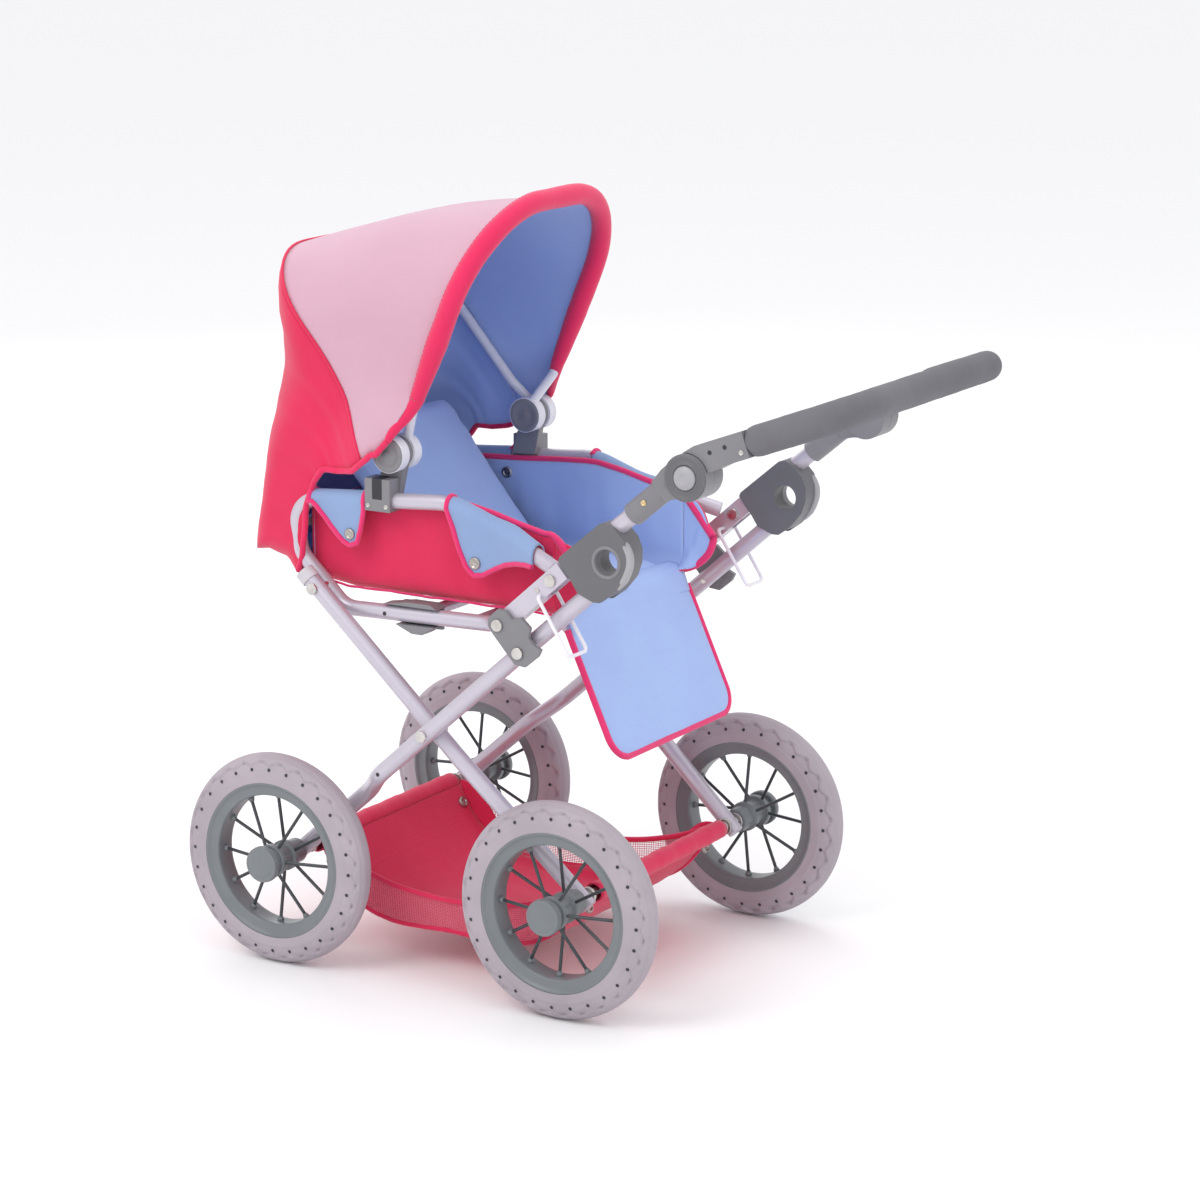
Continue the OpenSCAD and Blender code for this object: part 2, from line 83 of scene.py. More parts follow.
class Mat:
    def __init__(self, name, color, rough=0.5, metal=0.0):
        self.m = bpy.data.materials.new(name)
        self.m.use_nodes = True
        self.t = self.m.node_tree
        self.b = self.t.nodes["Principled BSDF"]
        self.b.inputs["Base Color"].default_value = color
        self.b.inputs["Roughness"].default_value = rough
        self.b.inputs["Metallic"].default_value = metal
        self.color = color
        self.coord = self.t.nodes.new("ShaderNodeTexCoord")
        self.height = None

    def n(self, kind, **inputs):
        node = self.t.nodes.new(kind)
        for k, v in inputs.items():
            node.inputs[k].default_value = v
        return node

    def link(self, a, b):
        self.t.links.new(a, b)

    def noise(self, scale, detail=4.0, rough=0.55, stretch=None):
        node = self.n("ShaderNodeTexNoise", Scale=scale, Detail=detail, Roughness=rough)
        src = self.coord.outputs["Object"]
        if stretch:
            mp = self.t.nodes.new("ShaderNodeMapping")
            mp.inputs["Scale"].default_value = stretch
            self.link(src, mp.inputs["Vector"])
            src = mp.outputs["Vector"]
        self.link(src, node.inputs["Vector"])
        return node.outputs["Fac"]

    def math(self, op, a, b=None):
        node = self.t.nodes.new("ShaderNodeMath")
        node.operation = op
        for i, v in enumerate((a, b)):
            if v is None:
                continue
            if isinstance(v, (int, float)):
                node.inputs[i].default_value = v
            else:
                self.link(v, node.inputs[i])
        return node.outputs[0]

    def ramp(self, src, lo, hi, a, b):
        node = self.n("ShaderNodeMapRange")
        node.inputs["From Min"].default_value = lo
        node.inputs["From Max"].default_value = hi
        node.inputs["To Min"].default_value = a
        node.inputs["To Max"].default_value = b
        self.link(src, node.inputs["Value"])
        return node.outputs["Result"]

    def tint(self, fac, other, base=None):
        """Mixes the base colour with another by fac."""
        mix = self.t.nodes.new("ShaderNodeMix")
        mix.data_type = "RGBA"
        mix.inputs[6].default_value = self.color
        if base is not None:
            self.link(base, mix.inputs[6])
        mix.inputs[7].default_value = other
        self.link(fac, mix.inputs[0])
        self.link(mix.outputs[2], self.b.inputs["Base Color"])
        return mix.outputs[2]

    def rough(self, src):
        self.link(src, self.b.inputs["Roughness"])

    def bump(self, src, strength, dist):
        node = self.n("ShaderNodeBump", Strength=strength, Distance=dist)
        self.link(src, node.inputs["Height"])
        if self.height is not None:
            self.link(self.height, node.inputs["Normal"])
        self.link(node.outputs["Normal"], self.b.inputs["Normal"])
        self.height = node.outputs["Normal"]

    def sine(self, axis, period):
        sep = self.t.nodes.new("ShaderNodeSeparateXYZ")
        self.link(self.coord.outputs["Object"], sep.inputs[0])
        return self.math("SINE", self.math("MULTIPLY", sep.outputs[axis], 2 * math.pi / period))


def fabric(name, color, dark, weave=0.0011, sheen=0.25):
    m = Mat(name, color, 0.78)
    m.b.inputs["Sheen Weight"].default_value = sheen
    m.b.inputs["Sheen Roughness"].default_value = 0.5
    m.b.inputs["Specular IOR Level"].default_value = 0.25
    sx, sy, sz = (m.sine(i, weave) for i in range(3))
    w = m.math("ADD", m.math("ADD", m.math("MULTIPLY", sx, sy), m.math("MULTIPLY", sy, sz)), m.math("MULTIPLY", sx, sz))
    big = m.noise(9, 3)
    fine = m.noise(900, 2)
    m.tint(m.math("MULTIPLY", m.ramp(m.math("ADD", m.math("MULTIPLY", big, 0.75), m.math("MULTIPLY", fine, 0.25)), 0.3, 0.75, 1, 0), 0.45), dark)
    m.rough(m.ramp(fine, 0.3, 0.7, 0.70, 0.88))
    m.bump(m.noise(22, 4, 0.5), 0.22, 0.004)
    m.bump(w, 0.30, 0.00018)
    m.bump(fine, 0.12, 0.0002)
    return m.m


def plastic(name, color, rough=0.42, grain=1600.0, wear=None):
    m = Mat(name, color, rough)
    g = m.noise(grain, 3)
    big = m.noise(26, 5)
    m.tint(m.math("MULTIPLY", m.ramp(big, 0.35, 0.7, 0, 1), 0.22), wear or tuple(min(1, c * 1.5) for c in color[:3]) + (1,))
    m.rough(m.ramp(big, 0.3, 0.7, rough - 0.07, rough + 0.1))
    m.bump(g, 0.10, 0.00015)
    return m.m


def paint(name, color, rough=0.32):
    m = Mat(name, color, rough, 0.35)
    m.b.inputs["Coat Weight"].default_value = 0.25
    m.b.inputs["Coat Roughness"].default_value = 0.25
    fine = m.noise(2600, 2)
    big = m.noise(14, 5)
    m.tint(m.math("MULTIPLY", m.ramp(big, 0.35, 0.75, 0, 1), 0.25), tuple(c * 0.78 for c in color[:3]) + (1,))
    m.rough(m.ramp(big, 0.3, 0.7, rough - 0.06, rough + 0.10))
    m.bump(fine, 0.05, 0.00008)
    return m.m


def metal(name, color, rough=0.28):
    m = Mat(name, color, rough, 1.0)
    big = m.noise(120, 4)
    m.tint(m.math("MULTIPLY", m.ramp(big, 0.4, 0.7, 0, 1), 0.4), tuple(c * 0.6 for c in color[:3]) + (1,))
    m.rough(m.ramp(big, 0.3, 0.7, rough - 0.05, rough + 0.14))
    m.bump(m.noise(1500, 2, 0.5, (1, 12, 1)), 0.06, 0.0001)
    return m.m


PINK = srgb(226, 44, 92)
PINK_D = srgb(176, 18, 48)
PIPE = srgb(232, 56, 118)
BLUE = srgb(166, 192, 236)
BLUE_D = srgb(140, 152, 218)
ROSE = srgb(208, 168, 184)
M = {
    "pink": fabric("pink_cloth", PINK, PINK_D),
    "rim": fabric("pink_padding_cloth", srgb(230, 46, 98), srgb(196, 22, 70)),
    "pipe": fabric("pink_piping_cloth", PIPE, srgb(196, 30, 84), 0.0016),
    "blue": fabric("blue_lining_cloth", BLUE, BLUE_D, 0.0010),
    # the lining blue made darker for the turned-out flaps: painted shade
    "flap": fabric("blue_lining_painted_shade", srgb(140, 166, 204), srgb(118, 134, 182), 0.0010),
    "rose": fabric("rose_cloth", ROSE, srgb(190, 142, 164), 0.0010),
    "net": fabric("pink_net_thread", srgb(232, 120, 142), srgb(214, 80, 110), 0.002),
    "paint": paint("tube_paint", srgb(196, 190, 202)),
    "cap": plastic("cap_plastic_light", srgb(190, 186, 192), 0.4),
    "plastic": plastic("joint_plastic_grey", srgb(122, 121, 125), 0.40),
    "plastic_dark": plastic("lock_plastic_dark", srgb(98, 98, 102), 0.42),
    "plastic_light": plastic("button_plastic_light", srgb(158, 157, 161), 0.36),
    "rimplastic": plastic("wheel_rim_plastic", srgb(112, 117, 120), 0.36),
    "spoke": paint("spoke_paint", srgb(62, 66, 70), 0.36),
    "steel": metal("screw_steel", (0.62, 0.60, 0.57, 1)),
    "brass": metal("gold_rivet", (0.72, 0.55, 0.30, 1)),
    "snap": metal("snap_metal", (0.46, 0.43, 0.40, 1), 0.32),
    "wire": plastic("white_wire_coat", srgb(228, 224, 234), 0.28),
    "bow": plastic("bow_plastic_white", srgb(214, 214, 224), 0.36),
    # near-black marks laid over holes, slots and tyre pits: painted shade standing in for their depth
    "dark": plastic("painted_recess_shade", srgb(46, 46, 50), 0.6),
    "thread": fabric("stitch_thread", srgb(240, 90, 140), srgb(200, 50, 100), 0.0008),
    "bluethread": fabric("stitch_thread_blue", srgb(128, 152, 206), srgb(110, 130, 190), 0.0008),
}


def foam_mat():
    m = Mat("foam_rubber", srgb(104, 103, 108), 0.82)
    fine, big = m.noise(700, 6, 0.7), m.noise(18, 4)
    m.tint(m.math("MULTIPLY", m.ramp(big, 0.35, 0.7, 0, 1), 0.4), srgb(128, 127, 133))
    m.bump(fine, 0.35, 0.0006)
    m.bump(m.noise(150, 3), 0.12, 0.0008)
    return m.m


def tyre_mat():
    m = Mat("tyre_rubber", srgb(172, 162, 170), 0.66)
    fine, big = m.noise(420, 5, 0.6), m.noise(16, 5)
    m.tint(m.math("MULTIPLY", m.ramp(big, 0.35, 0.72, 0, 1), 0.55), srgb(146, 138, 146))
    m.rough(m.ramp(big, 0.3, 0.7, 0.58, 0.76))
    m.bump(fine, 0.16, 0.0004)
    return m.m


M["foam"] = foam_mat()
M["tyre"] = tyre_mat()


# ------------------------------------------------------------------ mesh helpers
def mesh_obj(name, verts, faces, mats, smooth=True, mat_ids=None):
    me = bpy.data.meshes.new(name)
    me.from_pydata([tuple(v) for v in verts], [], faces)
    for m in mats if isinstance(mats, (list, tuple)) else [mats]:
        me.materials.append(m)
    if mat_ids is not None:
        me.polygons.foreach_set("material_index", mat_ids)
    me.polygons.foreach_set("use_smooth", [smooth] * len(me.polygons))
    me.update()
    o = bpy.data.objects.new(name, me)
    bpy.context.scene.collection.objects.link(o)
    return o


def grid_faces(nu, nv, cu=False, cv=False, flip=False, base=0):
    out = []
    for i in range(nu if cu else nu - 1):
        for j in range(nv if cv else nv - 1):
            a, b = base + i * nv + j, base + ((i + 1) % nu) * nv + j
            c, d = base + ((i + 1) % nu) * nv + (j + 1) % nv, base + i * nv + (j + 1) % nv
            out.append((a, d, c, b) if flip else (a, b, c, d))
    return out


def sheet_obj(name, P, outer, inner, thick=0.0018, flip=False, sub=0):
    """A two-sided cloth from a grid of points: outer shows on the side of the normals, inner on the other."""
    nu, nv = len(P), len(P[0])
    o = mesh_obj(name, [p for r in P for p in r], grid_faces(nu, nv, flip=flip), [outer, inner])
    s = o.modifiers.new("thick", "SOLIDIFY")
    s.thickness = thick
    s.offset = -1
    s.material_offset = 1
    s.material_offset_rim = 0
    apply(o)
    if sub:
        o.modifiers.new("soft", "SUBSURF").render_levels = sub
        o.modifiers["soft"].levels = sub
        apply(o)
    return o


def apply(o):
    dg = bpy.context.evaluated_depsgraph_get()
    me = bpy.data.meshes.new_from_object(o.evaluated_get(dg))
    o.modifiers.clear()
    old = o.data
    o.data = me
    me.name = o.name
    bpy.data.meshes.remove(old)
    me.polygons.foreach_set("use_smooth", [True] * len(me.polygons))


def tube_data(pts, r, n=10, closed=False, caps=True, squash=1.0):
    """A swept round tube through pts; r is a number or a list."""
    pts = [Vector(p) for p in pts]
    m = len(pts)
    rs = r if isinstance(r, (list, tuple)) else [r] * m
    tang = []
    for i in range(m):
        a = pts[(i - 1) % m] if closed or i > 0 else pts[i]
        b = pts[(i + 1) % m] if closed or i < m - 1 else pts[i]
        tang.append((b - a).normalized())
    up = Vector((0, 0, 1)) if abs(tang[0].z) < 0.9 else Vector((1, 0, 0))
    nrm = (up - tang[0] * up.dot(tang[0])).normalized()
    verts = []
    for i in range(m):
        nrm = (nrm - tang[i] * nrm.dot(tang[i])).normalized()
        bi = tang[i].cross(nrm)
        for k in range(n):
            a = 2 * math.pi * k / n
            verts.append(pts[i] + (nrm * math.cos(a) + bi * math.sin(a) * squash) * rs[i])
    faces = grid_faces(m, n, cu=closed, cv=True)
    if caps and not closed:
        faces.append(tuple(range(n)))
        faces.append(tuple((m - 1) * n + k for k in reversed(range(n))))
    return verts, faces


def tube(name, pts, r, mat, n=10, closed=False, **kw):
    v, f = tube_data(pts, r, n, closed, **kw)
    return mesh_obj(name, v, f, mat)


def join_data(parts):
    """One mesh from (verts, faces, material id) parts."""
    V, Fc, ids = [], [], []
    for v, f, mid in parts:
        k = len(V)
        V += list(v)
        Fc += [tuple(i + k for i in q) for q in f]
        ids += [mid] * len(f)
    return V, Fc, ids


def smooth_line(pts, per=8, closed=False):
    """Catmull-Rom through points."""
    pts = [Vector(p) for p in pts]
    m = len(pts)
    out = []
    for i in range(m if closed else m - 1):
        p0 = pts[(i - 1) % m] if closed or i > 0 else pts[0]
        p1, p2 = pts[i], pts[(i + 1) % m]
        p3 = pts[(i + 2) % m] if closed or i < m - 2 else pts[-1]
        for k in range(per):
            t = k / per
            out.append(0.5 * ((2 * p1) + (p2 - p0) * t + (2 * p0 - 5 * p1 + 4 * p2 - p3) * t * t + (-p0 + 3 * p1 - 3 * p2 + p3) * t ** 3))
    if not closed:
        out.append(pts[-1])
    return out


def lerp(x, table):
    """Piecewise linear lookup in [(x, y), ...]."""
    if x <= table[0][0]:
        return table[0][1]
    for (a, p), (b, q) in zip(table, table[1:]):
        if x <= b:
            return p + (q - p) * (x - a) / (b - a)
    return table[-1][1]


def smooth(t):
    t = max(0.0, min(1.0, t))
    return t * t * (3 - 2 * t)


def wob(x, k, seed=0.0):
    """A repeatable soft wobble."""
    return (math.sin(k * x + seed) + 0.6 * math.sin(2.3 * k * x + 1.7 * seed + 1.1) + 0.35 * math.sin(4.1 * k * x + 0.3 * seed)) / 1.95


def dome(centre, axis, r, h, mat_id=0, ring=True):
    """A press stud: a flat washer, a raised ring and a shallow dome."""
    prof = [(0.0, h * 0.55), (r * 0.35, h * 0.5), (r * 0.52, h * 0.35), (r * 0.6, h * 0.9), (r * 0.78, h), (r * 0.93, h * 0.75), (r, h * 0.15), (r, -h * 0.5)]
    axis = Vector(axis).normalized()
    u = axis.orthogonal().normalized()
    w = axis.cross(u)
    verts, n = [], 24
    for pr, ph in prof:
        for k in range(n):
            a = 2 * math.pi * k / n
            verts.append(Vector(centre) + axis * ph + (u * math.cos(a) + w * math.sin(a)) * pr)
    return verts, grid_faces(len(prof), n, cv=True, flip=True), mat_id


def stitches(line, normal_off, step=0.0032, length=0.0021, r=0.00032):
    """Short thread stitches along a line, as one set of tubes."""
    pts = [Vector(p) for p in line]
    d = [0.0]
    for a, b in zip(pts, pts[1:]):
        d.append(d[-1] + (b - a).length)
    parts, s = [], 0.0

    def at(x):
        for i in range(len(d) - 1):
            if x <= d[i + 1]:
                t = (x - d[i]) / max(1e-9, d[i + 1] - d[i])
                return pts[i].lerp(pts[i + 1], t)
        return pts[-1]
    while s + length < d[-1]:
        a, b = at(s), at(s + length)
        v, f = tube_data([a + normal_off, b + normal_off], r, 5)
        parts.append((v, f, 0))
        s += step
    return parts


def done(o, body, repl=()):
    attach(o, body)
    if repl:
        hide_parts(*repl)
    return o


# ------------------------------------------------------------------ CAD nodes: materials and rounded edges
LOOK = {}
for n in nodes:
    if n.startswith("fold_lock"):
        LOOK[n] = ("plastic_dark", 0.0013)
    elif n.startswith("tilt_button"):
        LOOK[n] = ("plastic_light", 0.0011)
    elif n.endswith("_hub"):
        LOOK[n] = ("rimplastic", 0.0012)
    elif n.endswith("spokes"):
        LOOK[n] = ("spoke", 0)
    elif n.startswith(("grip_arm", "joint_sleeve")):
        LOOK[n] = ("plastic", 0.0013)
    elif n.startswith(("hood_mount", "link_plates", "seat_clamps")):
        LOOK[n] = ("plastic", 0.0009)
    elif n in ("front_axle", "rear_axle", "frame_rivets", "link_rivets", "cross_pivots"):
        LOOK[n] = ("steel", 0.0006)
    elif n == "bag_hooks":
        LOOK[n] = ("wire", 0)
    elif n in ("hood_rear_bow", "hood_front_bow"):
        LOOK[n] = ("bow", 0.0008)
    elif n == "rear_leg_caps":
        LOOK[n] = ("cap", 0.0008)
    elif n.startswith("handle_bar"):
        LOOK[n] = ("paint", 0.0018)
    else:
        LOOK[n] = ("paint", 0.0005)
for n, o in nodes.items():
    mat, bev = LOOK[n]
    o.data.materials.clear()
    o.data.materials.append(M[mat])
    if bev:
        o.modifiers.new("weld", "WELD").merge_threshold = 1e-5
        dec = o.modifiers.new("flat", "DECIMATE")
        dec.decimate_type, dec.angle_limit = "DISSOLVE", D(0.6)
        b = o.modifiers.new("edge", "BEVEL")
        b.width, b.segments, b.limit_method, b.angle_limit = bev, 2, "ANGLE", D(32)
        b.use_clamp_overlap = True
        b.harden_normals = False
        wn = o.modifiers.new("normals", "WEIGHTED_NORMAL")
        wn.keep_sharp = False


# ------------------------------------------------------------------ wheels
AX, WR, WY = 137.3, 90.0, 157.0
WAVES = 28


def tyre_mesh(name, cx, side):
    nth, prof = 432, []
    for i in range(61):
        ph = D(-118 + 236 * i / 60)
        prof.append(ph)
    verts, c = [], F(cx, side * WY, WR)
    for i in range(nth):
        th = 2 * math.pi * i / nth
        tri = 2 * abs(((th * WAVES / (2 * math.pi)) % 1) - 0.5)  # 0..1
        for ph in prof:
            a = abs(math.degrees(ph))
            edge = 43 + 21 * tri
            up = smooth((edge - a) / 3.2 + 0.5)
            r0 = 12.1 + 1.8 * up
            r0 -= 1.5 * math.exp(-((a - 47) / 4.2) ** 2) * math.exp(-((tri - 0.02) / 0.30) ** 2)
            if a > 96:
                r0 += (a - 96) * 0.012
            groove = 0.45 * math.exp(-((a - 27) / 2.6) ** 2) + 0.5 * math.exp(-((a - 0) / 2.2) ** 2)
            r0 -= groove
            rr, zz = 76 + r0 * math.cos(ph), r0 * math.sin(ph)
            if a > 92:  # the sidewall runs straight in to the rim
                k = min(1, (a - 92) / 26)
                rr, zz = 75.6 - k * 9.0, math.copysign(12.75 - 0.35 * k, ph)
            verts.append(c + Vector((rr * math.cos(th), side * zz, rr * math.sin(th))) / 1000)
    parts = [(verts, grid_faces(nth, len(prof), cu=True, flip=side > 0), 0)]
    # small dark discs between the waves: painted shade standing in for moulded pits
    for sgn in (1, -1):
        for k in range(WAVES):
            th = 2 * math.pi * k / WAVES
            ph = D(79) * sgn
            rr, zz = 76 + 12.14 * math.cos(ph), 12.34 * math.sin(ph)
            p = c + Vector((rr * math.cos(th), side * zz, rr * math.sin(th))) / 1000
            nrm = Vector((math.cos(ph) * math.cos(th), side * math.sin(ph), math.cos(ph) * math.sin(th)))
            u = nrm.orthogonal().normalized()
            w = nrm.cross(u)
            vs = [p + nrm * 0.00012] + [p + nrm * 0.00008 + (u * math.cos(q * math.pi / 5) + w * math.sin(q * math.pi / 5)) * 0.0015 for q in range(10)]
            parts.append((vs, [(0, 1 + q, 1 + (q + 1) % 10) for q in range(10)], 1))
    V, Fc, ids = join_data(parts)
    return mesh_obj(name, V, Fc, [M["tyre"], M["dark"]], True, ids)


def rim_mesh(name, cx, side):
    prof = [(66.8, 0), (66.9, 11.6), (66.5, 12.3), (65.4, 12.5), (64.6, 12.1), (63.8, 11.2), (62.4, 10.6), (58.6, 9.6), (57.0, 9.9), (56.2, 9.7), (55.5, 8.8),
            (55.2, 6.5), (55.15, 3), (55.1, 0)]
    loop = prof + [(r, -z) for r, z in reversed(prof[1:-1])]
    c, n = F(cx, side * WY, WR), 144
    verts = []
    for i in range(n):
        th = 2 * math.pi * i / n
        for r, z in loop:
            verts.append(c + Vector((r * math.cos(th), side * z, r * math.sin(th))) / 1000)
    parts = [(verts, grid_faces(n, len(loop), cu=True, cv=True, flip=side < 0), 0)]
    for k in range(12):  # spoke nipples
        th = 2 * math.pi * k / 12
        z = (11 if k % 2 == 0 else -8) * (1 - 46 / 47.5)
        e = Vector((math.cos(th), 0, math.sin(th)))
        a = c + (e * 55.8 + Vector((0, side * z, 0))) / 1000
        b = c + (e * 51.5 + Vector((0, side * (11 if k % 2 == 0 else -8) * (5 / 47.5), 0))) / 1000
        v, f = tube_data([a, a.lerp(b, 0.5), b], [0.0032, 0.0026, 0.0019], 12)
        parts.append((v, f, 0))
    V, Fc, ids = join_data(parts)
    o = mesh_obj(name, V, Fc, M["rimplastic"])
    return o


def hub_cap(name, cx, side):
    """Domed cap over the end of the hub, with a small step."""
    c = F(cx, side * WY, WR)
    prof = [(0, 27.4), (6, 27.3), (10, 27.0), (12.6, 26.3), (13.4, 25.2), (13.6, 24.0), (14.9, 23.9), (15.25, 23.3), (15.25, 21.2), (14.6, 20.4)]
    verts = [c + Vector((r * math.cos(2 * math.pi * k / 48), side * z, r * math.sin(2 * math.pi * k / 48))) / 1000 for r, z in prof for k in range(48)]
    return mesh_obj(name, verts, grid_faces(len(prof), 48, cv=True, flip=side < 0), M["rimplastic"])


for e, cx in (("front", -AX), ("rear", AX)):
    for s, side in (("left", -1), ("right", 1)):
        body = f"wheel_{e}_{s}"
        done(tyre_mesh(f"{e}_{s}_tyre_tread", cx, side), body, [f"{e}_{s}_tyre"])
        done(rim_mesh(f"{e}_{s}_rim_dish", cx, side), body, [f"{e}_{s}_rim"])
        done(hub_cap(f"{e}_{s}_hub_cap", cx, side), body)


# ------------------------------------------------------------------ hood
HG = (-49.4, 433.9)


def G(a, r, o=0.0):
    return HG[0] + r * math.cos(D(a)) - o * math.sin(D(a)), HG[1] + r * math.sin(D(a)) + o * math.cos(D(a))


FA, RA, FL, RL = 67.0, 131.0, 221.0, 199.0


def chord(a, p, q):
    return p * q * math.sin(D(RA - FA)) / (p * math.sin(D(a - FA)) + q * math.sin(D(RA - a)))


def section(a, R, yw, off, n=64, rin=24.0, rc=72.0, dr=None):
    """Points across the hood in the half plane at angle a: up one side, round the corners, over the top."""
    rc = min(rc, yw - 2, max(2.0, R - rin - 2))
    line = [(yw, rin + (R - rc - rin) * k / 8) for k in range(8)]
    line += [(yw - rc + rc * math.cos(D(90 * k / 12)), R - rc + rc * math.sin(D(90 * k / 12))) for k in range(12)]
    line += [(yw - rc - (yw - rc) * k / 6, R) for k in range(7)]
    line += [(-y, r) for y, r in reversed(line[:-1])]
    d = [0.0]
    for p, q in zip(line, line[1:]):
        d.append(d[-1] + math.hypot(q[0] - p[0], q[1] - p[1]))
    res, k = [], 0
    for i in range(n + 1):
        x = d[-1] * i / n
        while k < len(d) - 2 and d[k + 1] < x:
            k += 1
        f = (x - d[k]) / max(1e-9, d[k + 1] - d[k])
        y = line[k][0] + (line[k + 1][0] - line[k][0]) * f
        r = line[k][1] + (line[k + 1][1] - line[k][1]) * f
        if dr:
            r += dr(i / n, a)
        px, pz = G(a, r, off)
        res.append((px, y, pz))
    return res


def top_rows(a0, a1, m):
    rows = []
    for j in range(m + 1):
        g = j / m
        a = a0 + (a1 - a0) * g
        mid = math.sin(math.pi * g)
        yw = 108.3 + 3.2 * mid + 3.7 * g
        off = -1.5 * (1 - g) ** 2
        rc = 84 * (1 - g) + 74 * g

        def dr(t, aa, g=g, mid=mid):
            # tension folds that run from corner to corner, and a slight sag
            fold = 0.9 * wob(t * 5 + g * 2.1, 2.0, 1.3) + 1.1 * math.exp(-((t - 0.33 - 0.25 * g) / 0.035) ** 2) - 0.9 * math.exp(-((t - 0.27 - 0.22 * g) / 0.03) ** 2)
            fold += 0.9 * math.exp(-((t - 0.72 + 0.2 * g) / 0.04) ** 2)
            return mid * fold
        R = chord(a, FL - 1, RL + 7) + 6.5 * mid
        rows.append(section(a, R, yw, off, rin=20 + 4 * (1 - g), rc=rc, dr=dr))
    return rows


def warp(rows, ends, reach=92.0, y_end=123.6):
    """Pulls the inner end of each row to its hem point, and out past the hinge disc."""
    out = []
    for r, (ex, ez) in zip(rows, ends):
        bx, bz = r[0][0], r[0][2]
        dx, dz = HG[0] + ex - bx, HG[1] + ez - bz
        rin = math.hypot(bx - HG[0], bz - HG[1])
        lim = max(rin + 25, reach + 18)
        row = []
        for x, y, z in r:
            d = math.hypot(x - HG[0], z - HG[1])
            w = max(0.0, 1 - (d - rin) / (lim - rin)) ** 2 if d < lim else 0.0
            w *= smooth((abs(y) - 70) / 25)
            nx, nz = x + dx * w, z + dz * w
            k = 1 - smooth((math.hypot(nx - HG[0], nz - HG[1]) - 20) / 46)
            row.append((nx, y + math.copysign(max(0.0, y_end - abs(y)) * k, y) if abs(y) > 60 else y, nz))
        out.append(row)
    return out


def to_row(rows):
    return [[F(*p) for p in r] for r in rows]


top_raw = top_rows(FA, RA, 34)
P = to_row(warp(top_raw, [(4.6 - 26.6 * j / 34, 13.3 - 21.3 * j / 34 - 2.2 * math.sin(math.pi * j / 34)) for j in range(35)]))
hood_top = sheet_obj("hood_top_cloth", P, M["rose"], M["blue"], 0.0016, flip=False)
hem_front = {"left": [r[-1] for r in P], "right": [r[0] for r in P]}

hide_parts("hood_top_panel")
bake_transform(hood_top)

# the padded rim round the front bow
def rim_path(n_side=22, n_arc=16, extra=0.0, start=44.0):
    R, w, L = 84.0, 108.5, FL
    pts = []
    pts += [(-124.2, 13.5), (-122.4, 20.0), (-117.8, 28.0), (-112.8, 37.0)]
    start = 50.0
    for i in range(n_side + 1):
        r = start + (L - R - start) * i / n_side
        pts.append((-w, r))
    for i in range(1, n_arc + 1):
        t = math.pi / 2 * i / n_arc
        pts.append((-w + R - R * math.cos(t), L - R + R * math.sin(t)))
    for i in range(1, n_side + 1):
        if i % 3 == 0:
            pts.append((-w + R + (2 * w - 2 * R) * i / (n_side + 1), L))
    for i in range(n_arc + 1):
        t = math.pi / 2 * i / n_arc
        pts.append((w - R + R * math.sin(t), L - R + R * math.cos(t)))
    for i in range(1, n_side + 1):
        r = L - R - (L - R - start) * i / n_side
        pts.append((w, r))
    pts += [(112.8, 37.0), (117.8, 28.0), (122.4, 20.0), (124.2, 13.5)]
    out = []
    for y, r in pts:
        x, z = G(FA + 4.0 * (1 - smooth((r - 13) / 40)), r + extra, -3 * smooth((r - 13) / 30))
        out.append(F(x, y, z))
    return out


path = rim_path()
fine = smooth_line(path, 3)
rs = []
for i, p in enumerate(fine):
    t = i / (len(fine) - 1)
    d = (p - F(HG[0], p.y * 1000, HG[1])).length * 1000
    rs.append(0.0029 + 0.0057 * min(1.0, max(0.0, d - 14) / 85) ** 0.75 + 0.00022 * wob(t * 34, 1.0, 2.0) * min(1, d / 90))
rim = tube("hood_rim_roll", fine, rs, M["rim"], 28)
done(rim, "hood_front", ["hood_rim"])
# stitched seam where the roll meets the rose cloth
line = []
for i in range(9, len(fine) - 9):
    t = (fine[i + 1] - fine[i - 1]).normalized()
    nb = Vector((-math.sin(D(FA)), 0, math.cos(D(FA))))
    side_out = nb.cross(t).normalized()
    if side_out.dot(fine[i] - F(HG[0], 0, HG[1])) < 0:
        side_out = -side_out
    line.append(fine[i] + nb * rs[i] * 0.80 + side_out * rs[i] * 0.64)
V, Fc, ids = join_data(stitches(line, Vector((0, 0, 0)), 0.0042, 0.0028, 0.00036))
done(mesh_obj("hood_rim_stitches", V, Fc, M["thread"]), "hood_front")
# binding from the end of the roll down to the tip of the rose cloth
for s, ln in hem_front.items():
    pipe = tube(f"hood_binding_{s}", smooth_line([q + Vector((0, -0.001 if s == "left" else 0.001, 0)) for q in ln[::3] + [ln[-1]]], 5), 0.0027, M["rim"], 12)
    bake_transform(pipe)

# red part of the hood: wings and the back, hanging to the seat tube
BACKX = [(335, -194.5), (352, -193.5), (380, -190), (420, -186.5), (460, -184), (500, -183), (535, -185.5), (555, -190), (575, -190), (600, -186)]


def back_R(a):
    if a <= RA + 1e-6:
        return chord(a, FL - 1, RL + 7)
    back = 140.0
    for _ in range(6):
        back = (HG[0] - lerp(HG[1] + back * math.sin(D(a)), BACKX)) / max(1e-6, -math.cos(D(a)))
    top = RL + 7.0
    r = min(top, back) if a < 150 else back
    if a > 214:  # bottom hem, from the lower back corner to the tip behind the tube
        p, q = (-194.0, 341.5), (-143.0, 326.0)
        dx, dz = q[0] - p[0], q[1] - p[1]
        ca, sa = math.cos(D(a)), math.sin(D(a))
        r = ((p[0] - HG[0]) * dz - (p[1] - HG[1]) * dx) / (ca * dz - sa * dx)
    return r


